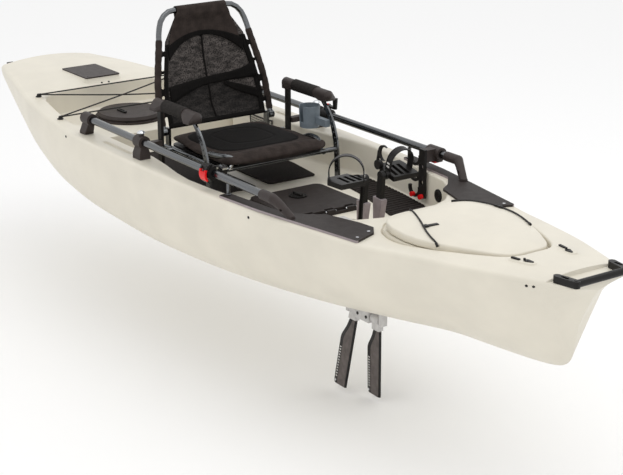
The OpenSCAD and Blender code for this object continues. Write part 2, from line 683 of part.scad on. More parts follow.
module seat_side(s) {
    rows = [for (q = [0:10]) floor_z + (arm_z - floor_z) * q / 10];
    color(grey) side(s) at(seat_x) difference() {
        union() {
            translate([0, side_y + 8, 0]) rotate([90, 0, 0]) linear_extrude(8) polygon(concat(
                [for (z = rows) [post_x(z) - 13, z]], [for (i = [10:-1:0]) [post_x(rows[i]) + 13, rows[i]]]));
            translate([post_x(floor_z), side_y + 4, floor_z]) cylinder(h = 6, r = 17);
        }
        for (z = [280:20:480]) translate([post_x(z), 0, z]) bar_y(side_y - 5, side_y + 20, 4);
    }
    color(black) side(s) at(seat_x) {
        box([-240, side_y, floor_z], [-214, side_y + 12, arm_z]);
        translate([-227, side_y + 6, floor_z]) cylinder(h = 6, r = 22);
    }
}
module armrest(s) {
    y = 296;
    color(black) side(s) at(seat_x) {
        hull() {
            box([-244, y - 20, arm_z], [-206, y + 34, arm_z + 12]);
            translate([0, y, arm_z + 22]) bar_x(-246, -176, 20);
        }
        translate([0, y, arm_z + 22]) bar_x(-178, -30, 24);
        hull() {
            box([4, y - 20, arm_z], [44, y + 34, arm_z + 12]);
            translate([0, y, arm_z + 22]) bar_x(-32, 48, 21);
            translate([46, y, arm_z + 22]) sphere(r = 17, $fn = 32);
        }
    }
}
module cup_holder() {
    c = [-38, 266];
    color(grey) at(seat_x) difference() {
        union() {
            translate([c[0], c[1], 418]) cylinder(h = 86, r1 = 38, r2 = 42);
            box([-10, c[1], 436], [70, side_y, 464]);
        }
        translate([c[0], c[1], 422]) cylinder(h = 100, r1 = 34, r2 = 39);
        box([c[0] - 12, c[1] - 60, 440], [c[0] + 12, c[1] - 20, 520]);
    }
}

// Drive
module drive_spine() {
    color(pale) at(crank_axis[0]) {
        difference() {
            union() {
                hull() {
                    box([606, -25, -30], [796, 25, 60]);
                    box([650, -25, 60], [752, 25, 172]);
                }
                box([654, -20, fin_z - 20], [732, 20, -20]);
                box([588, -14, fin_z - 16], [602, 14, -20]);
                box([784, -14, fin_z - 16], [798, 14, -20]);
                box([588, -14, -38], [798, 14, -24]);
                box([528, -18, floor_z], [616, 18, floor_z + 8]);
                box([786, -18, floor_z], [868, 18, floor_z + 8]);
                box([578, -12, 30], [616, 12, floor_z + 4]);
                box([786, -12, 30], [824, 12, floor_z + 4]);
            }
            for (x = [640, 700, 760]) translate([x, 0, 20]) bar_y(-40, 40, 14);
        }
        translate([crank_axis[0], 0, crank_axis[1]]) bar_y(-45, 45, 10 - run_fit);
        translate([0, 0, fin_z]) bar_x(590, 796, 8 - run_fit);
    }
    color(black) at(crank_axis[0]) both() for (x = [668, 718]) translate([x, 19, fin_z]) bar_y(0, 3, 6);
}
crank_len = norm(crank_top - crank_axis);
crank_lean = atan2(crank_top[0] - crank_axis[0], crank_top[1] - crank_axis[1]);
module crank_place() {
    translate([st(crank_axis[0]), 0, crank_axis[1]]) rotate([0, crank_lean, 0]) children();
}
module crank(s) {
    color(black) side(s) crank_place() difference() {
        union() {
            bar_y(28, 44, 20);
            box([-14, 28, 0], [14, 44, crank_len]);
            translate([0, 0, crank_len]) bar_y(28, 44, 16);
        }
        bar_y(20, 50, 10);
        translate([0, 0, crank_len]) bar_y(20, 50, 8);
        box([-8, 40, 30], [8, 50, crank_len - 30]);
    }
    color(pale) side(s) crank_place() difference() {
        hull() {
            box([-17, 25, 122], [17, 46, 200]);
            box([-25, 23, 212], [25, 48, 220]);
        }
        box([-14, 28, 100], [14, 60, 240]);
    }
}
module strap(r, leg) {
    difference() {
        union() {
            bar_x(-14, 14, r);
            box([-14, -r, -leg], [14, r, 0]);
        }
        bar_x(-20, 20, r - 4);
        box([-20, 4 - r, -leg - 5], [20, r - 4, 0]);
        box([-20, -r - 5, -r - 5], [20, r + 5, -leg]);
    }
}
module pedal(s) {
    color(black) side(s) at(crank_axis[0]) translate([crank_top[0], 0, crank_top[1]]) {
        bar_y(27, 50, 8 - run_fit);
        bar_y(46, 60, 17);
        rotate([0, s > 0 ? 12 : -2, 0]) {
            difference() {
                hull() {
                    box([-42, 58, -9], [42, 166, 9]);
                    box([-56, 72, -6], [-42, 154, 14]);
                }
                for (y = [70, 95, 120]) box([-32, y, -20], [32, y + 14, 20]);
            }
            if (s > 0) {
                translate([-4, 112, 42]) strap(50, 40);
                translate([-46, 0, 18]) bar_y(46, 62, 17);
                box([-56, 48, 20], [-48, 56, 70]);
                translate([-26, 0, 72]) difference() {
                    bar_y(48, 56, 28);
                    translate([9, 0, 0]) bar_y(40, 60, 25);
                }
            } else translate([-4, 112, 36]) rotate([0, 0, 38]) strap(62, 34);
        }
    }
}
module rear_place() {
    at(crank_axis[0]) translate([0, 0, fin_z]) rotate([rear_tilt, 0, 0]) translate([0, 0, -fin_z]) children();
}
module fin_hub_front() {
    color(pale) at(crank_axis[0]) fin_hub(736, 780);
}
module fin_hub_rear() {
    color(pale) rear_place() fin_hub(605, 649);
}
module fin_hub(x0, x1) {
    difference() {
        union() {
            translate([0, 0, fin_z]) bar_x(x0, x1, 17);
            box([x0 + 4, -11, fin_z - 40], [x1 - 1, 11, fin_z]);
        }
        translate([0, 0, fin_z]) bar_x(x0 - 5, x1 + 5, 8);
    }
}
module fin_blade(lead) {
    color(black) translate([0, 0, fin_z]) skin([for (q = [[-fin_len, 66], [12 - fin_len, 72], [-200, 74],
            [-126, 75], [-70, 50], [-40, 40]])
        [[lead - q[1], -1.2, q[0]], [lead - q[1] + 24, -3.2, q[0]], [lead - 12, -5, q[0]],
            [lead, -3.5, q[0]], [lead, 3.5, q[0]], [lead - 12, 5, q[0]], [lead - q[1] + 24, 3.2, q[0]],
            [lead - q[1], 1.2, q[0]]]]);
}
module fin_blade_front() {
    at(crank_axis[0]) fin_blade(779);
}
module fin_blade_rear() {
    rear_place() fin_blade(648);
}

// Rudder under the stern
module rudder_bracket() {
    color(dark) at(transom_x) difference() {
        union() {
            box([-1812, -30, 268], [-1806, 30, 360]);
            for (z = [272, 346]) hull() {
                box([-1812, -14, z], [-1808, 14, z + 10]);
                translate([-1836, 0, z]) cylinder(h = 10, r = 12);
            }
        }
        translate([-1836, 0, 200]) cylinder(h = 200, r = 6);
    }
}
module rudder_stock() {
    color(dark) at(transom_x) difference() {
        union() {
            translate([-1836, 0, 262]) cylinder(h = 104, r = 6 - run_fit);
            translate([-1836, 0, 284]) cylinder(h = 60, r = 11);
            translate([-1836, 0, 366]) cylinder(h = 6, r = 12);
            box([-1850, -14, 196], [-1822, -6, 264]);
            box([-1850, 6, 196], [-1822, 14, 264]);
            box([-1850, -14, 254], [-1822, 14, 266]);
        }
        translate([-1836, 0, 214]) bar_y(-20, 20, 5);
    }
}
module rudder_blade() {
    color(black) at(transom_x) {
        difference() {
            translate([-1836, 0, 214]) bar_y(-5, 5, 14);
            translate([-1836, 0, 214]) bar_y(-8, 8, 4);
        }
        translate([-1836, 0, 214]) bar_y(-14, 14, 5 - run_fit);
        translate([0, 5, 0]) rotate([90, 0, 0]) linear_extrude(10) polygon([[-1848, 212], [-1826, 206],
            [-1800, 150], [-1806, 40], [-1840, 34], [-1872, 60], [-1866, 150]]);
    }
}

hull_node();  // hull
bow_handle();
stern_handle();
rail(1);  // rail_left
rail(-1);  // rail_right
rear_bracket(1);  // rear_bracket_left
rear_bracket(-1);  // rear_bracket_right
mid_bracket(1);  // mid_bracket_left
mid_bracket(-1);  // mid_bracket_right
elbow(1);  // elbow_left
elbow(-1);  // elbow_right
board(1);  // board_left
board(-1);  // board_right
rail_prop(1);  // rail_prop_left
rail_prop(-1);  // rail_prop_right
mat_fwd(1);  // mat_fwd_left
mat_fwd(-1);  // mat_fwd_right
mat_aft(1);  // mat_aft_left
mat_aft(-1);  // mat_aft_right
round_hatch_ring();
round_hatch_lid();
centre_hatch_frame();
centre_hatch_lid();
centre_latch();
bow_hatch_lid();
bow_elastic();
bow_hooks();
cargo_eyes();
cargo_elastics();
stern_pad();
hull_screws();
rod_ports();
rod_rack();
rack_clamp();
steering_clamp();
steering_lever();
lever_clamp();
clamp_lever();
net_pocket();
cup_holder();
seat_frame();
seat_cushion();
seat_back_frame();
seat_back_panel();
seat_side(1);  // seat_side_left
seat_side(-1);  // seat_side_right
armrest(1);  // armrest_left
armrest(-1);  // armrest_right
drive_spine();
crank(1);  // crank_left
crank(-1);  // crank_right
pedal(1);  // pedal_left
pedal(-1);  // pedal_right
fin_hub_front();
fin_hub_rear();
fin_blade_front();
fin_blade_rear();
rudder_bracket();
rudder_stock();
rudder_blade();
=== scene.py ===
"""Pedal-drive sit-on-top kayak: its looks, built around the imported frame.

The scene is in metres, and the shapes are written in millimetres. +X is the bow, +Y is port, +Z is up,
and z = 0 is the flat of the keel.
"""

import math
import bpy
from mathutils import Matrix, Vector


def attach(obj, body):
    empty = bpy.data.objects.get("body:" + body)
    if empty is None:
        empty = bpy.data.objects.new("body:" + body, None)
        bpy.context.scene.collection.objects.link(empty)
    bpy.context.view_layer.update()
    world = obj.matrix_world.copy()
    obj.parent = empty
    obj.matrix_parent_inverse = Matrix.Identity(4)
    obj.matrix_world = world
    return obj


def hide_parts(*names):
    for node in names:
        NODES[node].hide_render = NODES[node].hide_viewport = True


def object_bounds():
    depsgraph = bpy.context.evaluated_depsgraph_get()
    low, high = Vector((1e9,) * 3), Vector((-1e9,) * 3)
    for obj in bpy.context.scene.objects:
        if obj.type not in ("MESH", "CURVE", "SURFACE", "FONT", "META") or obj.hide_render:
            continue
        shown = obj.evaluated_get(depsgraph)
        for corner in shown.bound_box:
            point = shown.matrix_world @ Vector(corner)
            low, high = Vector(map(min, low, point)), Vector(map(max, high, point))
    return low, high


bl_info = {
    "name": "Pedal Kayak",
    "version": (1, 0, 0),
    "blender": (4, 5, 0),
    "location": "View3D > Sidebar > Kayak",
    "description": "Dresses the frame of a pedal kayak with its hull, seat, lines and finishes",
    "category": "Object",
}

import bmesh
import bpy
import numpy as np
from bpy.props import FloatProperty, FloatVectorProperty, PointerProperty, StringProperty
from mathutils import Matrix, Vector, geometry

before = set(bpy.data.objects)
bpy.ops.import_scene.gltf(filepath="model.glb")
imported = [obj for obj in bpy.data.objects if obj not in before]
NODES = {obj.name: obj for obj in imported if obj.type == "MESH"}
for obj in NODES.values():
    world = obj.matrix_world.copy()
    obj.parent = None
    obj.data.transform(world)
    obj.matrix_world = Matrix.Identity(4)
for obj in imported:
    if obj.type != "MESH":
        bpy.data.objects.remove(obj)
CAD_BOX = [list(corner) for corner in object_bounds()]
MM = 0.001
SIDES = {"left": 1, "right": -1}

# Lines of the hull, as pairs of station and value
BEAM_LINE = [(-1806, 196), (-1790, 226), (-1740, 243), (-1600, 284), (-1400, 338), (-1150, 401), (-850, 446),
             (-500, 466), (-150, 465), (150, 458), (450, 440), (750, 400), (1050, 353), (1300, 290),
             (1500, 240), (1620, 200), (1700, 171), (1760, 146), (1832, 104)]
SHEER_LINE = [(-1806, 406), (-1600, 405), (-1400, 398), (-1150, 388), (-850, 374), (-650, 366), (1096, 366),
              (1300, 378), (1500, 387), (1700, 395), (1832, 400)]
KEEL_LINE = [(-1806, 214), (-1740, 176), (-1600, 112), (-1400, 58), (-1150, 24), (-850, 6), (-600, 0),
             (500, 0), (750, 4), (1050, 22), (1300, 30), (1500, 44), (1620, 56), (1680, 68), (1711, 82),
             (1736, 111), (1747, 168), (1757, 217), (1783, 277), (1816, 338), (1832, 362)]
FULL_LINE = [(-1806, 1.7), (-1600, 1.85), (-1400, 2.1), (-1150, 2.5), (-850, 3.1), (-500, 3.6), (-150, 4),
             (150, 3.7), (450, 3.1), (750, 2.5), (1050, 1.95), (1300, 1.35), (1500, 1.3), (1620, 1.2),
             (1711, 1), (1832, 0.9)]
CROWN_LINE = [(-1806, 18), (-1300, 24), (-1210, 12), (-1100, 0), (1096, 0), (1250, 10), (1500, 14), (1832, 6)]

# Stations where the hull turns sharply: its ends, the breaks of the sheer, the well's step and the bow shelf
STERN_END, BOW_END = -1806, 1832
SHEER_BREAKS = {-650, 1096}
STEP_ROWS = (-756, -750, -745, -742, -740, -738, -735, -730, -724)
STEP_TOP, STEP_MIDDLE, STEP_FOOT = -745, -740, -736
SHELF_ROWS = (1744, 1747, 1749, 1751, 1753, 1755, 1758)
STERN_ROWS = (STERN_END, -1804, -1801, -1797, -1792)
STERN_SOFT = 14
STERN_SOFT_ABOVE = 390

# Plan shapes, port half only
WELL_HALF = [(-1206, 210), (-1190, 290), (-1150, 322), (-1000, 352), (-850, 378), (-770, 384), (-744, 366),
             (-722, 342), (-690, 342), (-620, 352), (-180, 352), (-60, 368), (60, 390), (160, 400),
             (300, 392), (450, 376), (600, 352), (700, 336), (800, 276), (880, 194), (914, 100)]
BOW_LID_HALF = [(995, 80), (1000, 126), (1016, 162), (1046, 190), (1100, 209), (1180, 219), (1240, 213),
                (1310, 192), (1420, 143), (1496, 102), (1526, 76), (1536, 44)]
PLAN_CORNER = 60
PLAN_STEP = 14

# Grids of points that fill the large faces: two corners and the spacing
DECK_GRID = ((-1780, -460), (1740, 460), 36)
FLOOR_GRID = ((-1200, -400), (900, 400), 60)
LID_GRID = ((940, -260), (1550, 260), 26)

# Places of the openings and bosses; a box is its two corners
DRIVE_WELL = ((583, 0), (827, 0))
DRIVE_WELL_RADIUS = 44
SCUPPER = (-330, 290)
SCUPPER_RADIUS = 14
GUNWALE_SLOT = (-470, -270)
GUNWALE_SLOT_SIDE = 404
GUNWALE_SLOT_RADIUS = 9
STERN_PAD = ((-1464, -84), (-1236, 84))
STERN_PAD_TOP = 425.8
EYES = [(-1174, 342, 395.8), (-844, 408, 377.8)]
EYE_RADIUS = 13.5
HOOK = ((1566, 98), (1628, 84))
HOOK_RADIUS = 15
HOOK_SEAT, HOOK_SEAT_AT, HOOK_SLOPE = 403.8, 1572, 2 / 44
CENTRE_BIN = ((205, -125), (435, 125))
ROUND_BIN = (-1000, 0)
ROUND_BIN_RADIUS = 108

# Heights of the bow lid: its bed in the hull, its underside, its edge and how far the crown rises
LID_BED, LID_UNDER, LID_EDGE, LID_CROWN = 384, 396, 402, 13.5

# Routes of the elastics
LID_LINES = {
    "lid_line_near": [(1002, -54, 404.8), (1011, -58, 406.8), (1030, -67, 410.6), (1060, -82, 414.2),
                      (1102, -103, 416.2), (1146, -125, 416.6), (1185, -146, 416.0), (1225, -166, 413.4),
                      (1256, -178.5, 410.6), (1282, -186.5, 407.2), (1300, -191, 404.9), (1311, -194, 401.2),
                      (1317, -195.6, 395.0)],
    "lid_line_far": [(1013, 118, 407.2), (1024, 146, 407.2), (1042, 170, 407.2), (1070, 187, 407.2),
                     (1114, 200, 407.2), (1180, 206, 407.2), (1226, 203, 407.2), (1280, 189.5, 407.2),
                     (1320, 175.5, 407.2), (1352, 162, 407.2)],
}
CARGO_LINES = {
    "cargo_line_aft": [(-1174, 342, 406), (-1174, -342, 406)],
    "cargo_line_front": [(-844, 408, 388), (-844, -408, 388)],
    "cargo_line_over": [(-1174, 342, 406), (-1014, 0, 398), (-844, -408, 388)],
    "cargo_line_under": [(-1174, -342, 406), (-1014, 0, 390), (-844, 408, 388)],
}
LINE_POINTS = 26

# Seat cushion: where its front roll and rear edge start to round off, the length of each, its half-widths,
# how high it rises, its sewn panel, and what the cloth simulation leaves free and holds
ROLL_START, ROLL_LENGTH = 98, 68
REAR_START, REAR_LENGTH = -250, 50
REAR_HALF, FRONT_HALF = 214, 236
CUSHION_CROWN, FRONT_ROLL = 7, 13
SEWN_MIDDLE, SEWN_HALF = -104, (172, 188)
ROOM_TO_SWELL = 2.5
HELD_HEIGHT = 2.5
SWELL_FRAMES = 20

# Seat back: half-width of its tube over the height above the hinge, and the hinge as station and height
TUBE_LINE = [(0, 247), (110, 246), (340, 206), (392, 195), (457, 120)]
BACK_TOP = 457
HINGE = (-285, 420)

# Panel of the seat back: its gap to the tube, its taper, how deep it sags, its folds and the hood's arch
TUBE_GAP = 26
TAPER_FROM, TAPER_HALF, TAPER_SLOPE = 340, 180, 0.66
SAG, LOW_SAG, LOW_SAG_AT, LOW_SAG_REACH = 34, 10, 80, 40
FOLD_DEPTH, FOLD_COUNT, FOLD_CENTRE = 2.6, 13, 400
HOOD_ARCH, HOOD_DROP, HOOD_HALF = 364, 44, 112


class KayakSizes(bpy.types.PropertyGroup):
    """Sizes of the dressed pieces."""

    gunwale_radius: FloatProperty(
        name="Gunwale radius", description="Radius of the hull's upper edge", default=0.016,
        subtype="DISTANCE")
    edge_radius: FloatProperty(
        name="Edge radius", description="Radius along the openings of the deck", default=0.009,
        subtype="DISTANCE")
    floor_radius: FloatProperty(
        name="Floor radius", description="Radius between a wall and a floor", default=0.010,
        subtype="DISTANCE")
    floor_height: FloatProperty(
        name="Floor height", description="Height of the cockpit floor", default=0.238, subtype="DISTANCE")
    well_height: FloatProperty(
        name="Well height", description="Height of the cargo well floor", default=0.296, subtype="DISTANCE")
    shelf_height: FloatProperty(
        name="Shelf height", description="Height of the shelf under the bow handle", default=0.392,
        subtype="DISTANCE")
    line_radius: FloatProperty(
        name="Line radius", description="Radius of the elastic lines", default=0.003, subtype="DISTANCE")
    recline: FloatProperty(
        name="Recline", description="Lean of the seat back", default=math.radians(15), subtype="ANGLE")
    seat_height: FloatProperty(
        name="Seat height", description="Height of the seat base", default=0.370, subtype="DISTANCE")
    cushion: FloatProperty(
        name="Cushion", description="Thickness of the seat cushion", default=0.034, subtype="DISTANCE")


class KayakColours(bpy.types.PropertyGroup):
    """Colours as sRGB hex."""

    hull: StringProperty(name="Hull", description="Ivory of the hull and the bow lid", default="#E2DCCD")
    dark: StringProperty(
        name="Dark plastic", description="Grey-brown of brackets and hatches", default="#3A3331")
    black: StringProperty(
        name="Black plastic", description="Cranks, pedals, clamps and handles", default="#191716")
    red: StringProperty(name="Red plastic", description="Levers and knobs", default="#E0161A")
    metal: StringProperty(name="Anodised metal", description="Rails and seat tubes", default="#6C6E70")
    cloth: StringProperty(name="Cloth", description="Border of the cushion and upper back", default="#332C29")
    mesh: StringProperty(name="Mesh", description="Open mesh of the seat back", default="#3A3634")
    casting: StringProperty(name="Casting", description="Pale castings of the drive", default="#C6C4C2")
    board: StringProperty(name="Board", description="Mounting boards and the centre hatch", default="#2C2624")
    # This mauve-grey is also a painted highlight along the boards' outboard edges
    collar: StringProperty(
        name="Collar", description="Mauve-grey of crank collars and board edges", default="#9A8F91")
    cup: StringProperty(name="Cup holder", description="Blue-grey of the cup holder", default="#78828A")
    pale: StringProperty(name="Pale plastic", description="Buckles and fin marks", default="#D6D4D0")
    mat: StringProperty(name="Mat", description="Ribbed foam of the floor mats", default="#2B2624")
    grip: StringProperty(name="Grip", description="Foam of the armrests", default="#262321")
    seat: StringProperty(name="Seat cloth", description="Sewn panel, belts and hems", default="#0E0C0B")
    rubber: StringProperty(name="Rubber", description="Fin blades", default="#625B58")
    floor: StringProperty(name="Stage floor", description="Plain pale floor", default="#FFFFFF")


class KayakView(bpy.types.PropertyGroup):
    """Camera and light."""

    eye: FloatVectorProperty(
        name="Eye", description="Place of the camera", default=(5.112, -3.332, 2.081), subtype="TRANSLATION")
    aim: FloatVectorProperty(
        name="Aim", description="Point in the middle of the picture", default=(0.353, 0.0, 0.119),
        subtype="TRANSLATION")
    roll: FloatProperty(
        name="Roll", description="Roll of the camera", default=math.radians(-0.16), subtype="ANGLE")
    lens: FloatProperty(name="Lens", description="Focal length in millimetres", default=95.9)
    floor_drop: FloatProperty(
        name="Floor drop", description="Depth of the stage floor below the lowest piece", default=0.02,
        subtype="DISTANCE")
    key_power: FloatProperty(
        name="Key light", description="Power of the large light overhead", default=34.0, subtype="POWER")
    strip_power: FloatProperty(
        name="Strip light", description="Power of the narrow light along the hull", default=7.0,
        subtype="POWER")
    world_level: FloatProperty(
        name="World level", description="Strength of the even light all round", default=0.91)


def sizes():
    return bpy.context.scene.kayak_sizes


def colours():
    return bpy.context.scene.kayak_colours


# Shader helpers

WHITE = (1, 1, 1, 1)
# Typical of polymers, rubber and paint
POLYMER_IOR = 1.5
YARN_DARK, YARN_LIGHT = "#0F0E0E", "#2A2827"


def linear(hex_colour):
    """sRGB hex to linear RGBA."""
    channels = [int(hex_colour[i:i + 2], 16) / 255 for i in (1, 3, 5)]
    return (*[c / 12.92 if c <= 0.04045 else ((c + 0.055) / 1.055) ** 2.4 for c in channels], 1.0)


def shade(hex_colour, factor):
    """A colour made darker or lighter by a factor, in linear light."""
    r, g, b, a = linear(hex_colour)
    return (min(1.0, r * factor), min(1.0, g * factor), min(1.0, b * factor), a)


def add(tree, kind, inputs=None, stops=(), **attributes):
    """Adds a node; an input is set to a value or linked to an output, and stops colour a ramp."""
    node = tree.nodes.new(kind)
    for key, value in attributes.items():
        setattr(node, key, value)
    for key, value in (inputs or {}).items():
        if isinstance(value, bpy.types.NodeSocket):
            tree.links.new(value, node.inputs[key])
        else:
            node.inputs[key].default_value = value
    for index, (position, colour) in enumerate(stops):
        node.color_ramp.elements[index].position = position
        node.color_ramp.elements[index].color = colour
    return node


def new_material(name):
    """An empty material, its nodes and the piece's own coordinates in metres."""
    material = bpy.data.materials.new(name)
    material.use_nodes = True
    tree = material.node_tree
    tree.nodes.clear()
    return material, tree, add(tree, "ShaderNodeTexCoord").outputs["Object"]


def surface(material, inputs):
    """The material with a shader that has those inputs; a metal keeps the shader's own IOR."""
    tree = material.node_tree
    if "Metallic" not in inputs:
        inputs = {"IOR": POLYMER_IOR, **inputs}
    shader = add(tree, "ShaderNodeBsdfPrincipled", inputs)
    add(tree, "ShaderNodeOutputMaterial", {"Surface": shader.outputs["BSDF"]})
    return material


# Scale of a wave texture that has one band in each metre
WAVE_TURN = 2 * math.pi / 20


def per_metre(size_mm):
    """Texture scale for features of that size."""
    return 1.0 / (size_mm * MM)


def mottle(tree, place, size_mm, dark, light):
    """Colour in soft patches of that size, between two colours."""
    noise = add(tree, "ShaderNodeTexNoise", {"Vector": place, "Scale": per_metre(size_mm), "Detail": 3.0})
    ramp = add(tree, "ShaderNodeValToRGB", {"Fac": noise.outputs["Fac"]}, stops=((0.35, dark), (0.65, light)))
    return ramp.outputs["Color"]


def wander(tree, place, size_mm, low, high):
    """Roughness that wanders between two values over patches of that size."""
    noise = add(tree, "ShaderNodeTexNoise", {"Vector": place, "Scale": per_metre(size_mm), "Detail": 2.0})
    span = add(tree, "ShaderNodeMapRange", {"Value": noise.outputs["Fac"], "To Min": low, "To Max": high})
    return span.outputs["Result"]


def grain(tree, place, size_mm, depth_mm, detail):
    """Normal of a random grain of that size and depth."""
    noise = add(tree, "ShaderNodeTexNoise", {"Vector": place, "Scale": per_metre(size_mm), "Detail": detail})
    bump = add(tree, "ShaderNodeBump", {"Height": noise.outputs["Fac"], "Distance": depth_mm * MM})
    return bump.outputs["Normal"]


def crossed_yarns(tree, place, axes, pitch_mm, operation):
    """Height of two sets of yarns at a right angle, joined by an operation."""
    waves = [add(tree, "ShaderNodeTexWave", {"Vector": place, "Scale": per_metre(pitch_mm) * WAVE_TURN},
                 wave_type="BANDS", bands_direction=axis).outputs["Fac"] for axis in axes]
    return add(tree, "ShaderNodeMath", {0: waves[0], 1: waves[1]}, operation=operation).outputs["Value"]


# Materials

def rotomoulded_polyethylene():
    """Rotomoulded polyethylene: satin, with a faint orange peel of 4 mm and soft tone changes."""
    material, tree, place = new_material("rotomoulded_polyethylene")
    tone = colours().hull
    return surface(material, {
        "Base Color": mottle(tree, place, 160, shade(tone, 0.955), shade(tone, 1.02)),
        "Roughness": wander(tree, place, 60, 0.36, 0.46),
        "Normal": grain(tree, place, 4, 0.25, 3.0),
    })


def moulded_plastic(name, tone, grain_mm, low, high):
    """Injection-moulded plastic: an even spark-eroded grain that breaks up the shine."""
    material, tree, place = new_material(name)
    return surface(material, {
        "Base Color": mottle(tree, place, 35, shade(tone, 0.9), shade(tone, 1.1)),
        "Roughness": wander(tree, place, 25, low, high),
        "Specular IOR Level": 0.25,
        "Normal": grain(tree, place, grain_mm, 0.15, 2.0),
    })


def anodised_aluminium():
    """Drawn and anodised aluminium tube: fine streaks along the tube, satin, grey."""
    material, tree, place = new_material("anodised_aluminium")
    drawn = add(tree, "ShaderNodeMapping", {"Vector": place, "Scale": (0.02, 1.0, 1.0)}).outputs["Vector"]
    tone = colours().metal
    return surface(material, {
        "Base Color": mottle(tree, drawn, 4, shade(tone, 0.85), shade(tone, 1.12)),
        "Metallic": 1.0,
        "Roughness": wander(tree, drawn, 3, 0.15, 0.27),
        "Normal": grain(tree, drawn, 3, 0.05, 2.0),
    })


def polished_steel():
    """Turned and polished stainless steel: bright, with faint turning marks."""
    material, tree, place = new_material("polished_stainless_steel")
    return surface(material, {
        "Base Color": mottle(tree, place, 12, linear("#B9BCC0"), linear("#DFE1E3")),
        "Metallic": 1.0,
        "Roughness": 0.16,
        "Normal": grain(tree, place, 2, 0.02, 1.0),
    })


def painted_casting():
    """Die-cast aluminium under grey paint: satin with a slight skin texture."""
    material, tree, place = new_material("painted_casting")
    tone = colours().casting
    return surface(material, {
        "Base Color": mottle(tree, place, 18, shade(tone, 0.9), shade(tone, 1.06)),
        "Roughness": 0.42,
        "Normal": grain(tree, place, 2.5, 0.15, 3.0),
    })


def closed_cell_foam(name, tone, cell_mm, rib_mm=0):
    """Closed-cell foam: matt, with small cells cut open on its skin, plain or with ribs pressed across it."""
    material, tree, place = new_material(name)
    cell = add(tree, "ShaderNodeTexVoronoi", {"Vector": place, "Scale": per_metre(cell_mm)})
    height = add(tree, "ShaderNodeMath", {0: cell.outputs["Distance"], 1: 0.3}, operation="MULTIPLY")
    if rib_mm:
        ribs = add(tree, "ShaderNodeTexWave", {"Vector": place, "Scale": per_metre(rib_mm) * WAVE_TURN},
                   wave_type="BANDS", bands_direction="X")
        height = add(tree, "ShaderNodeMath", {0: ribs.outputs["Fac"], 1: 2.5, 2: height.outputs["Value"]},
                     operation="MULTIPLY_ADD")
    bump = add(tree, "ShaderNodeBump", {"Height": height.outputs["Value"], "Distance": 1.0 * MM})
    return surface(material, {
        "Base Color": mottle(tree, place, 8, shade(tone, 0.8), shade(tone, 1.25)),
        "Roughness": 0.85,
        "Specular IOR Level": 0.2,
        "Normal": bump.outputs["Normal"],
    })


def woven_cloth(name, tone):
    """Coated nylon pack cloth: a plain weave, drawn at 10 mm a thread so that it shows, with a dull sheen."""
    material, tree, place = new_material(name)
    weave = crossed_yarns(tree, place, "XY", 10, "ADD")
    bump = add(tree, "ShaderNodeBump", {"Height": weave, "Distance": 0.25 * MM})
    return surface(material, {
        "Base Color": mottle(tree, place, 30, shade(tone, 0.8), shade(tone, 1.25)),
        "Roughness": 0.8,
        "Specular IOR Level": 0.1,
        "Sheen Weight": 0.015,
        "Sheen Roughness": 0.5,
        "Normal": bump.outputs["Normal"],
    })


def open_mesh_cloth(name, light):
    """Knitted polyester mesh: holes between grey yarns, drawn at 5.5 mm a hole so that they show.

    A lower light factor makes a darker copy, which is painted shade on the mesh below the belts.
    """
    material, tree, place = new_material(name)
    hole = add(tree, "ShaderNodeTexVoronoi", {"Vector": place, "Scale": per_metre(5.5), "Randomness": 0.9})
    yarn = add(tree, "ShaderNodeValToRGB", {"Fac": hole.outputs["Distance"]},
               stops=((0.25, linear("#0E0D0D")), (0.5, shade(colours().mesh, light))))
    pulled = add(tree, "ShaderNodeMapping", {"Vector": place, "Scale": (1.0, 0.35, 1.0)})
    streak = mottle(tree, pulled.outputs["Vector"], 14, (0.3, 0.3, 0.3, 1), WHITE)
    mixed = add(tree, "ShaderNodeMix", {"Factor": 1.0, 6: yarn.outputs["Color"], 7: streak},
                data_type="RGBA", blend_type="MULTIPLY")
    bump = add(tree, "ShaderNodeBump", {"Height": hole.outputs["Distance"], "Distance": 0.6 * MM})
    return surface(material, {
        "Base Color": mixed.outputs[2],
        "Roughness": 0.85,
        "Specular IOR Level": 0.2,
        "Sheen Weight": 0.04,
        "Normal": bump.outputs["Normal"],
    })


def knotted_net():
    """Knotted elastic net: thin black yarns round open cells of 10 mm."""
    material, tree, place = new_material("knotted_elastic_net")
    net = crossed_yarns(tree, place, "XZ", 10, "MAXIMUM")
    yarn = add(tree, "ShaderNodeMath", {0: net, 1: 0.9}, operation="GREATER_THAN")
    return surface(material, {
        "Base Color": mottle(tree, place, 3, linear(YARN_DARK), linear(YARN_LIGHT)),
        "Roughness": 0.8,
        "Alpha": yarn.outputs["Value"],
    })


def braided_elastic():
    """Braided sleeve over rubber strands: a braid of about 2 mm, matt black."""
    material, tree, place = new_material("braided_elastic_cord")
    braid = add(tree, "ShaderNodeTexVoronoi", {"Vector": place, "Scale": per_metre(2)})
    bump = add(tree, "ShaderNodeBump", {"Height": braid.outputs["Distance"], "Distance": 0.3 * MM})
    return surface(material, {
        "Base Color": mottle(tree, place, 3, linear(YARN_DARK), linear(YARN_LIGHT)),
        "Roughness": 0.7,
        "Normal": bump.outputs["Normal"],
    })


def moulded_rubber():
    """Moulded rubber of the fins: matt grey, with a slight skin texture."""
    material, tree, place = new_material("moulded_rubber")
    tone = colours().rubber
    return surface(material, {
        "Base Color": mottle(tree, place, 22, shade(tone, 0.8), shade(tone, 1.15)),
        "Roughness": 0.62,
        "Specular IOR Level": 0.25,
        "Normal": grain(tree, place, 3, 0.2, 3.0),
    })


def painted_paper():
    """Matt painted paper of the stage floor: plain and even."""
    material, _, _ = new_material("painted_paper_floor")
    return surface(material, {
        "Base Color": linear(colours().floor),
        "Roughness": 0.9,
        "Specular IOR Level": 0.0,
    })


FINISHES = {}


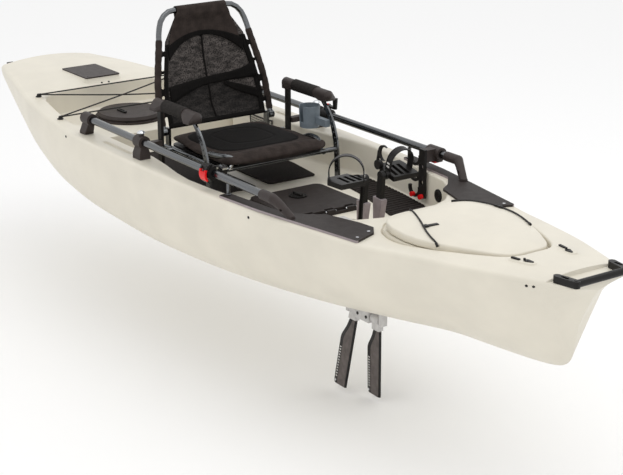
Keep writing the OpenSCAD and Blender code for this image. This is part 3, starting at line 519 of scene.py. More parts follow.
def make_finishes():
    """Makes each finish once."""
    tone = colours()
    FINISHES.update(
        hull=rotomoulded_polyethylene(),
        dark=moulded_plastic("moulded_nylon_grey", tone.dark, 1.6, 0.42, 0.58),
        board=moulded_plastic("moulded_nylon_board", tone.board, 1.6, 0.5, 0.62),
        black=moulded_plastic("moulded_nylon_black", tone.black, 1.6, 0.32, 0.5),
        red=moulded_plastic("moulded_acetal_red", tone.red, 2.0, 0.25, 0.34),
        collar=moulded_plastic("moulded_nylon_mauve", tone.collar, 1.6, 0.4, 0.55),
        cup=moulded_plastic("moulded_nylon_blue_grey", tone.cup, 1.6, 0.4, 0.55),
        metal=anodised_aluminium(),
        steel=polished_steel(),
        casting=painted_casting(),
        mat=closed_cell_foam("eva_foam_sheet", tone.mat, 2.5, 11),
        grip=closed_cell_foam("soft_foam_grip", tone.grip, 2.0),
        cloth=woven_cloth("woven_nylon_cloth", tone.cloth),
        seat=woven_cloth("woven_nylon_seat_cloth", tone.seat),
        mesh=open_mesh_cloth("knitted_polyester_mesh", 2.45),
        # A darker copy of the mesh: painted shade below the belts
        mesh_double=open_mesh_cloth("knitted_polyester_mesh_double", 0.8),
        elastic=braided_elastic(),
        net=knotted_net(),
        pale=moulded_plastic("moulded_acetal_pale", tone.pale, 1.6, 0.4, 0.55),
        rubber=moulded_rubber(),
    )


# Mesh helpers

def hermite(a, b, slope_a, slope_b, step, u):
    """Cubic between two points with their slopes."""
    return (a * (1 + 2 * u) * (1 - u) ** 2 + slope_a * step * u * (1 - u) ** 2
            + b * u * u * (3 - 2 * u) + slope_b * step * u * u * (u - 1))


def curve_at(table, x):
    """Smooth curve through pairs, without overshoot."""
    xs, ys = np.array(table, float).T
    step = np.diff(xs)
    slope = np.diff(ys) / step
    product = slope[:-1] * slope[1:]
    total = np.where(product > 0, slope[:-1] + slope[1:], 1.0)
    tangent = np.concatenate([[slope[0]], np.where(product > 0, 2 * product / total, 0.0), [slope[-1]]])
    x = np.clip(np.asarray(x, float), xs[0], xs[-1])
    i = np.clip(np.searchsorted(xs, x, side="right") - 1, 0, len(xs) - 2)
    return hermite(ys[i], ys[i + 1], tangent[i], tangent[i + 1], step[i], (x - xs[i]) / step[i])


def smooth_path(points, count):
    """Points along a smooth line through the given ones."""
    points = np.array(points, float)
    reach = np.concatenate([[0], np.cumsum(np.linalg.norm(np.diff(points, axis=0), axis=1))])
    at = np.linspace(0, reach[-1], count)
    if len(points) == 2:
        return points[0] + (points[1] - points[0]) * (at / reach[-1])[:, None]
    slope = np.gradient(points, reach, axis=0)
    i = np.clip(np.searchsorted(reach, at, side="right") - 1, 0, len(points) - 2)
    step = (reach[i + 1] - reach[i])[:, None]
    return hermite(points[i], points[i + 1], slope[i], slope[i + 1], step, ((at - reach[i])[:, None]) / step)


def smooth_step(x, low, high):
    """Soft rise from 0 at low to 1 at high."""
    t = np.clip((x - low) / (high - low), 0, 1)
    return t * t * (3 - 2 * t)


def raised(plan, z):
    """Plan points at a height, or each at its own."""
    return np.column_stack([plan, np.zeros(len(plan)) + z])


def whole(half):
    """Closed outline, counter-clockwise from above, from its port half."""
    half = [np.array(p, float) for p in half]
    return [p * (1, -1) for p in half] + half[::-1]


def rectangle(low, high):
    """Corners of a box, counter-clockwise from above."""
    return [np.array(p, float) for p in (low, (high[0], low[1]), high, (low[0], high[1]))]


def circle(x, y, r, count):
    """Counter-clockwise circle."""
    turn = np.linspace(0, 2 * math.pi, count, False)
    return np.array([(x + r * math.cos(t), y + r * math.sin(t)) for t in turn])


def capsule(a, b, r, count=10):
    """Counter-clockwise outline round two points."""
    a, b = np.array(a, float), np.array(b, float)
    heading = math.atan2(*(b - a)[::-1])
    made = []
    for centre, start in ((b, -math.pi / 2), (a, math.pi / 2)):
        for k in range(count + 1):
            angle = heading + start + math.pi * k / count
            made.append(centre + r * np.array([math.cos(angle), math.sin(angle)]))
    return np.array(made)


def round_corners(outline, radius, share=0.45, arc_step=math.radians(9)):
    """Outline with each corner turned into an arc, which takes at most a share of each side."""
    points = [np.array(p, float) for p in outline]
    made = []
    for before, here, after in zip(points[-1:] + points[:-1], points, points[1:] + points[:1]):
        a, b = before - here, after - here
        la, lb = np.linalg.norm(a), np.linalg.norm(b)
        a, b = a / la, b / lb
        turn = math.pi - math.acos(np.clip(a @ b, -1, 1))
        if turn < 1e-3:
            made.append(here)
            continue
        reach = min(radius * math.tan(turn / 2), share * la, share * lb)
        r = reach / math.tan(turn / 2)
        middle = (a + b) / np.linalg.norm(a + b)
        centre = here + middle * math.hypot(r, reach)
        first, last = here + a * reach - centre, here + b * reach - centre
        start = math.atan2(first[1], first[0])
        sweep = math.atan2(last[1], last[0]) - start
        sweep = (sweep + math.pi) % (2 * math.pi) - math.pi
        count = max(2, int(abs(sweep) / arc_step) + 1)
        for k in range(count + 1):
            angle = start + sweep * k / count
            made.append(centre + r * np.array([math.cos(angle), math.sin(angle)]))
    return made


def resample(outline, spacing=PLAN_STEP, rows=(), least=0.2):
    """Closed outline with points at most spacing apart, and a point at each x in rows."""
    made = []
    for p, q in zip(outline, [*outline[1:], outline[0]]):
        count = max(1, math.ceil(np.linalg.norm(q - p) / spacing))
        shares = {k / count for k in range(count)}
        for x in rows:
            if (p[0] - x) * (q[0] - x) < 0:
                shares.add((x - p[0]) / (q[0] - p[0]))
        made += [p + (q - p) * t for t in sorted(shares)]
    return np.array([p for p, q in zip(made, made[1:] + made[:1]) if np.linalg.norm(q - p) > least])


def inset(loop, distance):
    """Counter-clockwise loop moved inwards, or outwards where distance is negative."""
    ahead, behind = np.roll(loop, -1, axis=0), np.roll(loop, 1, axis=0)
    one = (ahead - loop) / np.linalg.norm(ahead - loop, axis=1)[:, None]
    two = (loop - behind) / np.linalg.norm(loop - behind, axis=1)[:, None]
    normal = np.stack([-(one + two)[:, 1], (one + two)[:, 0]], 1)
    normal /= np.linalg.norm(normal, axis=1)[:, None]
    spread = np.clip(np.abs(normal[:, 0] * -one[:, 1] + normal[:, 1] * one[:, 0]), 0.5, 1.0)
    return loop + normal * (distance / spread)[:, None]


def inside(points, loop):
    """Which points lie in a closed loop."""
    x, y = points[:, 0][:, None], points[:, 1][:, None]
    x0, y0 = loop[:, 0], loop[:, 1]
    x1, y1 = np.roll(x0, -1), np.roll(y0, -1)
    crosses = (y0 > y) != (y1 > y)
    rise = np.where(y1 == y0, 1e-12, y1 - y0)
    return (crosses & (x < (x1 - x0) * (y - y0) / rise + x0)).sum(1) % 2 == 1


def distance_to(points, loop):
    """Distance from each point to a closed loop."""
    a, b = loop, np.roll(loop, -1, axis=0)
    span = b - a
    t = ((points[:, None] - a) * span).sum(2) / np.maximum((span * span).sum(1), 1e-12)
    near = a + np.clip(t, 0, 1)[..., None] * span
    return np.linalg.norm(points[:, None] - near, axis=2).min(1)


def clear_inside(points, loop, gap):
    """The points that lie in a loop and clear of it by a gap."""
    points = points[inside(points, loop)]
    return points[distance_to(points, loop) > gap]


def grid_points(low, high, step, holes, outer, gap):
    """Grid of plan points in a loop and outside its holes, clear of each by a gap."""
    xs, ys = np.arange(low[0], high[0], step), np.arange(low[1], high[1], step)
    points = clear_inside(np.array([(x, y) for x in xs for y in ys]), outer, gap)
    for hole in holes:
        points = points[~inside(points, hole)]
        points = points[distance_to(points, hole) > gap]
    return points


def flip_slivers(plan, faces, share=0.01, passes=8):
    """Turns the long edge of each triangle too flat to shade well, and drops those left on the rim."""
    faces = [tuple(int(i) for i in face) for face in faces]
    for _ in range(passes):
        corners = plan[np.array(faces)]
        sides = np.linalg.norm(np.roll(corners, -1, axis=1) - corners, axis=2)
        u, v = corners[:, 1] - corners[:, 0], corners[:, 2] - corners[:, 0]
        height = np.abs(u[:, 0] * v[:, 1] - u[:, 1] * v[:, 0]) / sides.max(1)
        flat = (height < share * sides.max(1)) & (sides.min(1) > 3 * height)
        if not flat.any():
            break
        owner = {(face[k], face[(k + 1) % 3]): i for i, face in enumerate(faces) for k in range(3)}
        turned_now = set()
        for i in np.flatnonzero(flat):
            k = int(sides[i].argmax())
            a, c, b = (faces[i][(k + n) % 3] for n in range(3))
            j = owner.get((c, a))
            if j is None or turned_now & {i, j}:
                continue
            d = next(n for n in faces[j] if n not in (a, c))
            faces[i], faces[j] = (a, d, b), (d, c, b)
            turned_now |= {i, j}
        if not turned_now:
            break
    return np.array([face for face, thin in zip(faces, flat) if not thin])


SHARP_ANGLE = math.radians(40)


def shade_smooth(mesh):
    """Smooth shading on every face."""
    mesh.polygons.foreach_set("use_smooth", [True] * len(mesh.polygons))


def shown(name, data, body, finish):
    """A piece with that mesh or curve, on a body."""
    piece = bpy.data.objects.new(name, data)
    bpy.context.scene.collection.objects.link(piece)
    data.materials.append(FINISHES[finish])
    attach(piece, body)
    return piece


def kept_mesh(piece):
    """Applies a piece's modifiers and gives it the mesh that they make."""
    graph = bpy.context.evaluated_depsgraph_get()
    made = bpy.data.meshes.new_from_object(piece.evaluated_get(graph))
    piece.modifiers.clear()
    piece.data = made
    return made


def places(mesh):
    """Places of a mesh's points, in metres."""
    made = np.empty(len(mesh.vertices) * 3)
    mesh.vertices.foreach_get("co", made)
    return made.reshape(-1, 3)


class Patchwork:
    """Gathers patches of one mesh in millimetres, then welds them."""

    def __init__(self):
        self.points, self.faces = [], []

    def strip(self, rows, closed=True):
        """Quads between rows of points."""
        start = len(self.points)
        count = len(rows[0])
        for row in rows:
            self.points += [tuple(p) for p in row]
        for i in range(len(rows) - 1):
            for j in range(count if closed else count - 1):
                k = (j + 1) % count
                a, b = start + i * count, start + (i + 1) * count
                self.faces.append((a + j, a + k, b + k, b + j))

    def cap(self, loop):
        """One flat face over a loop of points."""
        start = len(self.points)
        self.points += [tuple(p) for p in loop]
        self.faces.append(tuple(range(start, start + len(loop))))

    def pocket(self, rows):
        """Quads between closed rows, with a face over the last."""
        self.strip(rows)
        self.cap(rows[-1])

    def solid(self, rows):
        """Quads between closed rows, with a face over the first and the last."""
        self.strip(rows)
        self.cap(rows[0][::-1])
        self.cap(rows[-1])

    def fill(self, outer, holes, extra, height):
        """Triangles over a plan region with holes, lifted by a height function."""
        loops = [outer] + holes
        points = np.vstack(loops + ([extra] if len(extra) else []))
        edges, start = [], 0
        for loop in loops:
            edges += [(start + i, start + (i + 1) % len(loop)) for i in range(len(loop))]
            start += len(loop)
        made = geometry.delaunay_2d_cdt([Vector(p) for p in points], edges, [], 0, 1e-6)
        plan = np.array([tuple(p) for p in made[0]])
        faces = flip_slivers(plan, [f for f in made[2] if len(f) == 3])
        middle = plan[faces].mean(1)
        keep = inside(middle, outer)
        for hole in holes:
            keep &= ~inside(middle, hole)
        base = len(self.points)
        self.points += [tuple(p) for p in raised(plan, height(plan))]
        self.faces += [tuple(int(i) + base for i in f) for f in faces[keep]]

    def tube(self, path, radii, sides=16):
        """A closed tube round a path."""
        self.solid(tube_rows(path, radii, sides))

    def block(self, low, high, soft, turn=None):
        """A block with rounded edges; turn maps its points."""
        low, high = np.array(low, float), np.array(high, float)
        loop = np.array(round_corners(rectangle(low[:2], high[:2]), soft, arc_step=math.radians(30)))
        middle, size = (low[:2] + high[:2]) / 2, (high[:2] - low[:2]) / 2
        rows = []
        for shrink, z in ((soft, low[2]), (soft * 0.3, low[2] + soft * 0.3), (0, low[2] + soft),
                          (0, high[2] - soft), (soft * 0.3, high[2] - soft * 0.3), (soft, high[2])):
            rows.append(raised(middle + (loop - middle) * (size - shrink) / size, z))
        if turn:
            rows = [np.array([turn(q) for q in row]) for row in rows]
        self.solid(rows)

    def dome(self, middle, axis, radius, rise):
        """A low round head that stands on a face."""
        axis = np.array(axis, float) / np.linalg.norm(axis)
        middle = np.array(middle, float)
        path = [middle - axis * 0.6] + [middle + axis * rise * share for share in (0.0, 0.55, 0.9, 1.0)]
        self.tube(path, np.array((1.0, 1.0, 0.92, 0.6, 0.15)) * radius, 14)

    def mesh(self, name, weld=0.05, least=0.01):
        """The welded mesh in metres."""
        mesh = bpy.data.meshes.new(name)
        mesh.from_pydata([[c * MM for c in p] for p in self.points], [], self.faces)
        bm = bmesh.new()
        bm.from_mesh(mesh)
        bmesh.ops.remove_doubles(bm, verts=bm.verts, dist=weld * MM)
        bmesh.ops.dissolve_degenerate(bm, edges=bm.edges, dist=least * MM)
        loose = [v for v in bm.verts if not v.link_faces]
        bmesh.ops.delete(bm, geom=loose, context="VERTS")
        bmesh.ops.recalc_face_normals(bm, faces=bm.faces)
        bm.to_mesh(mesh)
        bm.free()
        return mesh

    def piece(self, name, body, finish):
        """The mesh as a shown piece on a body, smooth but for its sharp edges."""
        mesh = self.mesh(name)
        shade_smooth(mesh)
        mesh.set_sharp_from_angle(angle=SHARP_ANGLE)
        return shown(name, mesh, body, finish)


def tube_rows(path, radii, sides):
    """Rings round a path, with a radius at each point."""
    path = np.array(path, float)
    along = np.gradient(path, axis=0)
    along /= np.linalg.norm(along, axis=1)[:, None]
    side = np.cross(along, (0.0, 0.0, 1.0) if abs(along[0][2]) < 0.9 else (1.0, 0.0, 0.0))
    side /= np.linalg.norm(side, axis=1)[:, None]
    up = np.cross(side, along)
    turn = np.linspace(0, 2 * math.pi, sides, False)
    return [p + r * (np.cos(turn)[:, None] * s + np.sin(turn)[:, None] * u)
            for p, s, u, r in zip(path, side, up, radii)]


def carve(piece, cutters):
    """Cuts the cutters' closed mesh out of a piece and keeps the result."""
    tool = bpy.data.objects.new("cutter", cutters)
    bpy.context.scene.collection.objects.link(tool)
    cut = piece.modifiers.new("cut", "BOOLEAN")
    cut.operation = "DIFFERENCE"
    cut.solver = "EXACT"
    cut.object = tool
    made = kept_mesh(piece)
    bpy.data.objects.remove(tool)
    return made


# Hull

def hull_stations():
    """Stations along the hull, close together where it turns."""
    made = set(STEP_ROWS) | set(SHELF_ROWS) | set(STERN_ROWS) | SHEER_BREAKS | {BOW_END}
    for start, stop, step in ((-1786, -1700, 12), (-1700, 1660, 30), (1660, BOW_END, 6)):
        made |= set(np.arange(start, stop, step))
    row = sorted(float(x) for x in made)
    return np.array([x for i, x in enumerate(row) if i == 0 or x - row[i - 1] > 0.9])


def trimmed(x, z):
    """Height after the shelf under the bow handle and the soft edge at the stern."""
    shelf = sizes().shelf_height / MM
    z = np.minimum(z, shelf + 60 * (1 - smooth_step(x, SHELF_ROWS[0], SHELF_ROWS[-1])))
    back = np.clip(STERN_SOFT - (x - STERN_END), 0, STERN_SOFT)
    return np.where(z > STERN_SOFT_ABOVE, z - (STERN_SOFT - np.sqrt(STERN_SOFT ** 2 - back * back)), z)


def deck_height(plan):
    """Height of the uncut deck over plan points."""
    x, y = plan[:, 0], plan[:, 1]
    edge = curve_at(BEAM_LINE, x) - sizes().gunwale_radius / MM
    z = curve_at(SHEER_LINE, x) + curve_at(CROWN_LINE, x) * (1 - np.clip(y / edge, -1, 1) ** 2)
    return trimmed(x, z)


def half_section(x, count=30, turns=6):
    """Points of one side at a station, from the keel to the inner edge of the gunwale."""
    r = sizes().gunwale_radius / MM
    beam, sheer = curve_at(BEAM_LINE, x), curve_at(SHEER_LINE, x)
    keel, full = curve_at(KEEL_LINE, x), curve_at(FULL_LINE, x)
    top = sheer - r
    a = np.radians(90 * np.arange(count + 1) / count)
    rise = (top - keel) * (1 - np.cos(a) ** (2 / full))
    side = np.stack([beam * np.sin(a) ** (2 / full), keel + rise * (1 - np.exp(-rise / 2.5))], 1)
    b = np.radians(90 * np.arange(1, turns + 1) / turns)
    edge = np.stack([beam - r + r * np.cos(b), top + r * np.sin(b)], 1)
    both = np.vstack([side, edge])
    return np.stack([np.full(len(both), x), both[:, 0], trimmed(np.full(len(both), x), both[:, 1])], 1)


def floor_height(plan):
    """Height of the open floor over plan points: the cargo well steps down to the cockpit."""
    low, high = sizes().floor_height / MM, sizes().well_height / MM
    return high + (low - high) * smooth_step(plan[:, 0], STEP_TOP, STEP_FOOT)


def quarter(radius, share):
    """How far a quarter round has turned away at a share of its radius."""
    return radius - math.sqrt(radius ** 2 - (radius * (1 - share)) ** 2)


def well_rows(loop, draft=2.0):
    """Rows from the deck down the wall of the open well to its floor."""
    edge, foot = sizes().edge_radius / MM, sizes().floor_radius / MM
    rows = []
    for share in (1.0, 0.8, 0.58, 0.36, 0.16, 0.04, 0.0):
        plan = inset(loop, -edge * share)
        rows.append(raised(plan, deck_height(plan) - quarter(edge, share)))
    for share in (0.0, 0.05, 0.2, 0.42, 0.68, 1.0):
        plan = inset(loop, draft + foot * share)
        rows.append(raised(plan, floor_height(plan) + quarter(foot, share)))
    return rows


def sweep_rows(loop, profile, base):
    """Rows at pairs of inset and height; a height of None lies on the base."""
    rows = []
    for distance, z in profile:
        plan = inset(loop, distance)
        rows.append(raised(plan, base(plan) if z is None else float(z)))
    return rows


def lid_outline():
    """Plan of the bow lid."""
    return resample(round_corners(whole(BOW_LID_HALF), PLAN_CORNER))


class KAYAK_OT_hull(bpy.types.Operator):
    """Hull: outer skin, gunwale, deck, cockpit, cargo well and the recesses for the fittings"""

    bl_idname = "kayak.hull"
    bl_label = "Hull"

    def execute(self, context):
        body = Patchwork()
        self.deck(body, self.skin(body))
        hull = body.piece("hull_shell", "hull", "hull")
        made = carve(hull, self.cutters())
        shade_smooth(made)
        made.set_sharp_from_angle(angle=SHARP_ANGLE)
        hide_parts("hull")
        return {"FINISHED"}

    def skin(self, body):
        """Both sides with the gunwale, and the faces at the ends; gives the rim of the deck."""
        stations = hull_stations()
        halves = [half_section(x) for x in stations]
        mirrored = np.array([1, -1, 1])
        body.strip(halves, closed=False)
        body.strip([h * mirrored for h in halves], closed=False)
        port = np.array([h[-1][:2] for h in halves])
        ends = []
        for k, count in ((0, 14), (-1, 10)):
            across = np.linspace(port[k][1], -port[k][1], count)[1:-1]
            ends.append(np.array([(stations[k], y) for y in across]))
        stern, bow = ends
        for plan, end in ((stern, halves[0]), (bow, halves[-1])):
            body.cap(np.vstack([end, raised(plan, deck_height(plan)), (end * mirrored)[:0:-1]]))
        return np.vstack([port[::-1], stern, port * (1, -1), bow[::-1]])

    def cutters(self):
        """Prisms of the drive well and the scuppers, which pass through the bottom."""
        made = Patchwork()
        below, in_well, above_floor = -60, 150, 240.5
        slot = capsule(*DRIVE_WELL, DRIVE_WELL_RADIUS)
        made.solid([raised(slot, below), raised(slot, in_well)])
        for s in SIDES.values():
            hole = circle(SCUPPER[0], s * SCUPPER[1], SCUPPER_RADIUS, 28)
            made.solid([raised(hole, below), raised(hole, above_floor)])
        return made.mesh("cutters")

    def deck(self, body, rim):
        """Deck, wells and recesses inside the rim."""
        well = well_rows(resample(round_corners(whole(WELL_HALF), PLAN_CORNER), PLAN_STEP, STEP_ROWS))
        body.strip(well)
        holes = [well[0][:, :2], self.lid_groove(body)]
        holes += [self.gunwale_slot(body, s) for s in SIDES.values()]
        # Each boss: its outline, the height of its top and the width of its skirt
        bosses = [(resample(round_corners(rectangle(*STERN_PAD), 14)), lambda p: STERN_PAD_TOP, 8)]
        for s in SIDES.values():
            for x, y, top in EYES:
                bosses.append((circle(x, s * y, EYE_RADIUS, 24), lambda p, top=top: top, 3))
            hook = capsule(*[(x, s * y) for x, y in HOOK], HOOK_RADIUS)
            bosses.append((hook, lambda p: HOOK_SEAT + (p[:, 0] - HOOK_SEAT_AT) * HOOK_SLOPE, 4))
        holes += [self.boss(body, *one) for one in bosses]
        across = np.arange(-220, 221, 12)
        turns = np.array([(x, y) for x in SHELF_ROWS + STERN_ROWS[1:] for y in across], float)
        points = grid_points(*DECK_GRID, holes, rim, 16)
        body.fill(rim, holes, np.vstack([points, clear_inside(turns, rim, 5)]), deck_height)
        self.floor(body, well[-1][:, :2])

    def lid_groove(self, body):
        """Groove round the bow lid, its bed and the bay below; gives its hole in the deck."""
        groove = [(-20, None), (-19, None), (-14.5, None), (-12, None), (-12, 378), (-11.5, 374.5), (-9, 372),
                  (10, 372), (13, 373), (14, 376), (14, 381), (15, LID_BED - 0.5), (17, LID_BED),
                  (42, LID_BED), (44, LID_BED - 2), (45, 200), (60, 160)]
        rows = sweep_rows(lid_outline(), groove, deck_height)
        edge = deck_height(rows[2][:, :2])
        rows[2][:, 2] = edge - 2.2
        rows[3][:, 2] = edge - 7
        body.pocket(rows)
        return rows[0][:, :2]

    def gunwale_slot(self, body, s):
        """Shallow slot beside the seat; gives its hole in the deck."""
        ends = [(x, s * GUNWALE_SLOT_SIDE) for x in GUNWALE_SLOT]
        slot = resample(capsule(*ends, GUNWALE_SLOT_RADIUS))
        rows = sweep_rows(slot, [(out, None) for out in (-4, -2, 0, 1, 4)], deck_height)
        for row, drop in zip(rows, (0, 0.6, 4, 8, 9)):
            row[:, 2] -= drop
        body.pocket(rows)
        return rows[0][:, :2]

    def boss(self, body, loop, top, skirt):
        """Raised pad with a soft skirt; gives its hole in the deck."""
        rows = []
        for out, share in ((skirt, 0.0), (skirt * 0.5, 0.25), (skirt * 0.15, 0.8), (0, 0.97), (-1.5, 1.0)):
            plan = inset(loop, -out)
            base = deck_height(plan)
            rows.append(raised(plan, base + (top(plan) - base) * share))
        body.strip(rows)
        body.fill(rows[-1][:, :2], [], [], top)
        return rows[0][:, :2]

    def floor(self, body, rim):
        """Floor of the cockpit and the cargo well, with the drive well and the bins under the hatches."""
        # Each recess: its outline, the radius of its edge and the height of its bottom
        recesses = [
            (resample(capsule(*DRIVE_WELL, DRIVE_WELL_RADIUS + 3), 10), 4, 100),
            (resample(round_corners(rectangle(*CENTRE_BIN), 20)), 3, 30),
            (circle(*ROUND_BIN, ROUND_BIN_RADIUS, 64), 3, 60),
        ]
        holes = []
        for loop, soft, bottom in recesses:
            rows = []
            for out, drop in ((soft, 0.0), (soft * 0.4, soft * 0.2), (0, soft)):
                plan = inset(loop, -out)
                rows.append(raised(plan, floor_height(plan) - drop))
            body.pocket(rows + [raised(inset(loop, 1), bottom)])
            holes.append(rows[0][:, :2])
        step = np.array([(x, y) for x in STEP_ROWS for y in np.arange(-330, 331, 16)], float)
        points = grid_points(*FLOOR_GRID, holes, rim, 20)
        points = points[np.abs(points[:, 0] - STEP_MIDDLE) > 30]
        body.fill(rim, holes, np.vstack([points, clear_inside(step, rim, 6)]), floor_height)


class KAYAK_OT_bow_lid(bpy.types.Operator):
    """Bow hatch lid: one moulded shell with a soft edge and a low crown"""

    bl_idname = "kayak.bow_lid"
    bl_label = "Bow lid"

    def execute(self, context):
        lid = lid_outline()
        shell = Patchwork()

        def crown(plan):
            depth = distance_to(plan, lid)
            return LID_EDGE + LID_CROWN * (1 - np.exp(-np.maximum(depth - 7, 0) / 42.0))

        profile = [(46, LID_UNDER), (44, 395), (43.5, 386), (42, LID_BED), (13, LID_BED), (11.5, 382),
                   (11, 378), (9, 376), (1.5, 376), (0.3, 377.5), (0, 380), (0, 393), (0.4, 396.5),
                   (1.6, 399.4), (3.8, 401.3), (7, LID_EDGE), (14, None), (24, None), (36, None), (50, None)]
        rows = sweep_rows(lid, profile, crown)
        shell.strip(rows)
        for row, height in ((rows[-1], crown), (rows[0], lambda plan: LID_UNDER)):
            rim = row[:, :2]
            shell.fill(rim, [], grid_points(*LID_GRID, [], rim, 12), height)
        piece = shell.piece("bow_lid_shell", "bow_lid", "hull")
        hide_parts("bow_hatch_lid")
        return {"FINISHED"}


# Lines

def new_line(name, points, radius, body, finish):
    """A round line on a body."""
    data = bpy.data.curves.new(name, "CURVE")
    data.dimensions = "3D"
    data.bevel_depth = radius * MM
    data.bevel_resolution = 4
    data.use_fill_caps = True
    spline = data.splines.new("POLY")
    spline.points.add(len(points) - 1)
    for knot, p in zip(spline.points, points):
        knot.co = (*[c * MM for c in p], 1.0)
    return shown(name, data, body, finish)


class KAYAK_OT_lines(bpy.types.Operator):
    """Elastics of the bow lid and the cargo well, with their ends"""

    bl_idname = "kayak.lines"
    bl_label = "Lines"

    def execute(self, context):
        radius = sizes().line_radius / MM
        for body, node, table in (("bow_lid", "bow_elastic", LID_LINES),
                                  ("hull", "cargo_elastics", CARGO_LINES)):
            for name, route in table.items():
                points = smooth_path(route, LINE_POINTS)
                line = new_line(name, points, radius, body, "elastic")
                with_pieces = [self.ends(name, points, body)]
                if body == "bow_lid":
                    with_pieces.append(self.grip(name))
                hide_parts(node)
        return {"FINISHED"}

    def ends(self, name, points, body):
        """Crimped sleeves on both ends of a line."""
        made = Patchwork()
        for a, b in ((points[0], points[1]), (points[-1], points[-2])):
            heading = (b - a) / np.linalg.norm(b - a)
            made.tube([a + heading * step for step in (-4, -3, 9, 12, 13)], (2.5, 4.4, 4.6, 4.2, 3.1))
        return made.piece(name + "_ends", body, "black")

    def grip(self, name):
        """Pull tab on the near line, or buckle on the far one."""
        made = Patchwork()
        if name == "lid_line_near":
            root, tip = (1190.0, -143.0), (1196.0, -94.0)
            angle = math.atan2(tip[1] - root[1], tip[0] - root[0])

            def place(q):
                return (root[0] + q[0] * math.cos(angle) - q[1] * math.sin(angle),
                        root[1] + q[0] * math.sin(angle) + q[1] * math.cos(angle), q[2])
            made.block((-6, -10, 412.6), (12, 10, 419.4), 2.4, place)
            made.block((9, -8, 413.6), (50, 8, 417.8), 1.6, place)
        else:
            made.block((1131, 198.5, 403.4), (1169, 209.5, 411.6), 2.4)
            for x in (1138, 1156):
                made.block((x, 196.8, 403.6), (x + 6, 211.2, 412.4), 1.4)
        return made.piece(name + "_grip", "bow_lid", "black")


# Seat

def cushion_form(x):
    """Half-width and half-thickness of the cushion at a station."""
    front = max(0.0, 1 - max(0.0, (x - ROLL_START) / ROLL_LENGTH) ** 2.4)
    aft = max(0.0, 1 - max(0.0, (REAR_START - x) / REAR_LENGTH) ** 2.4)
    ease = front ** 0.42 * aft ** 0.42
    wide = REAR_HALF + (FRONT_HALF - REAR_HALF) * min(1.0, max(0.0, (x + 230) / 150))
    return wide * (0.9 + 0.1 * ease) - 40 * (1 - front), 0.5 * sizes().cushion / MM * max(ease, 0.12)


def cushion_rows(shrink):
    """Rings of the cushion from its rear edge to its front edge, shrunk to leave room for the swelling."""
    base, thick = sizes().seat_height / MM, sizes().cushion / MM
    xs = np.concatenate([[-299.5, -298, -294, -288, -280, -270], np.arange(-258, 96, 14),
                         np.arange(98, 156, 8), [158, 162, 164.8]])
    rows = []
    for x in xs:
        half, rise = cushion_form(x)
        ring = []
        for a in np.radians(np.arange(0, 360, 5)):
            c, s = math.cos(a), math.sin(a)
            y = (half - shrink) * math.copysign(abs(c) ** 0.6, c)
            z = rise * math.copysign(abs(s) ** 0.55, s)
            crown = CUSHION_CROWN * (1 - (y / 240) ** 2) * max(0.0, 1 - ((x + 85) / 230) ** 2)
            roll = FRONT_ROLL * math.exp(-((x - 126) / 34) ** 2)
            z += max(s, 0.0) ** 0.6 * (crown + roll) * rise / 17
            ring.append((x, y, max(base, base + 0.5 * thick + z - (shrink if s > 0 else 0))))
        rows.append(ring)
    return rows


def swell(piece, held, pressure, limit, voxel):
    """Blows a closed piece up as cloth, with the held points fixed and each move limited."""
    scene = bpy.context.scene
    remesh = piece.modifiers.new("remesh", "REMESH")
    remesh.mode = "VOXEL"
    remesh.voxel_size = voxel * MM
    mesh = kept_mesh(piece)
    start = places(mesh)
    group = piece.vertex_groups.new(name="held")
    group.add([int(i) for i in np.nonzero(held(start / MM))[0]], 1.0, "REPLACE")
    cloth = piece.modifiers.new("cloth", "CLOTH")
    cloth.settings.use_pressure = True
    cloth.settings.uniform_pressure_force = pressure
    cloth.settings.effector_weights.gravity = 0.0
    cloth.settings.vertex_group_mass = "held"
    cloth.settings.quality = 5
    cloth.settings.mass = 0.3
    cloth.point_cache.frame_start, cloth.point_cache.frame_end = 1, SWELL_FRAMES
    for number in range(1, SWELL_FRAMES + 1):
        scene.frame_set(number)
    graph = bpy.context.evaluated_depsgraph_get()
    move = places(piece.evaluated_get(graph).to_mesh()) - start
    piece.evaluated_get(graph).to_mesh_clear()
    piece.modifiers.clear()
    piece.vertex_groups.clear()
    size = np.linalg.norm(move, axis=1)[:, None]
    move *= np.minimum(1.0, limit * MM / np.maximum(size, 1e-9))
    mesh.vertices.foreach_set("co", (start + move).ravel())
    scene.frame_set(1)
    return mesh


def sew(mesh, seams):
    """Pulls the upper side of a piece down along seams; each gives its distance, width and depth."""
    co = places(mesh)
    normals = np.array([v.normal.z for v in mesh.vertices])
    for away, width, depth in seams:
        gap = away(co / MM)
        co[:, 2] -= np.clip(normals, 0, 1) * depth * MM * np.exp(-(gap / width) ** 2)
    mesh.vertices.foreach_set("co", co.ravel())
    mesh.update()


def sewn_panel(p):
    """Distance from the middle of the cushion's sewn panel, as a share of its half-size."""
    along, across = (p[:, 0] - SEWN_MIDDLE) / SEWN_HALF[0], p[:, 1] / SEWN_HALF[1]
    return (np.abs(along) ** 4 + np.abs(across) ** 4) ** 0.25


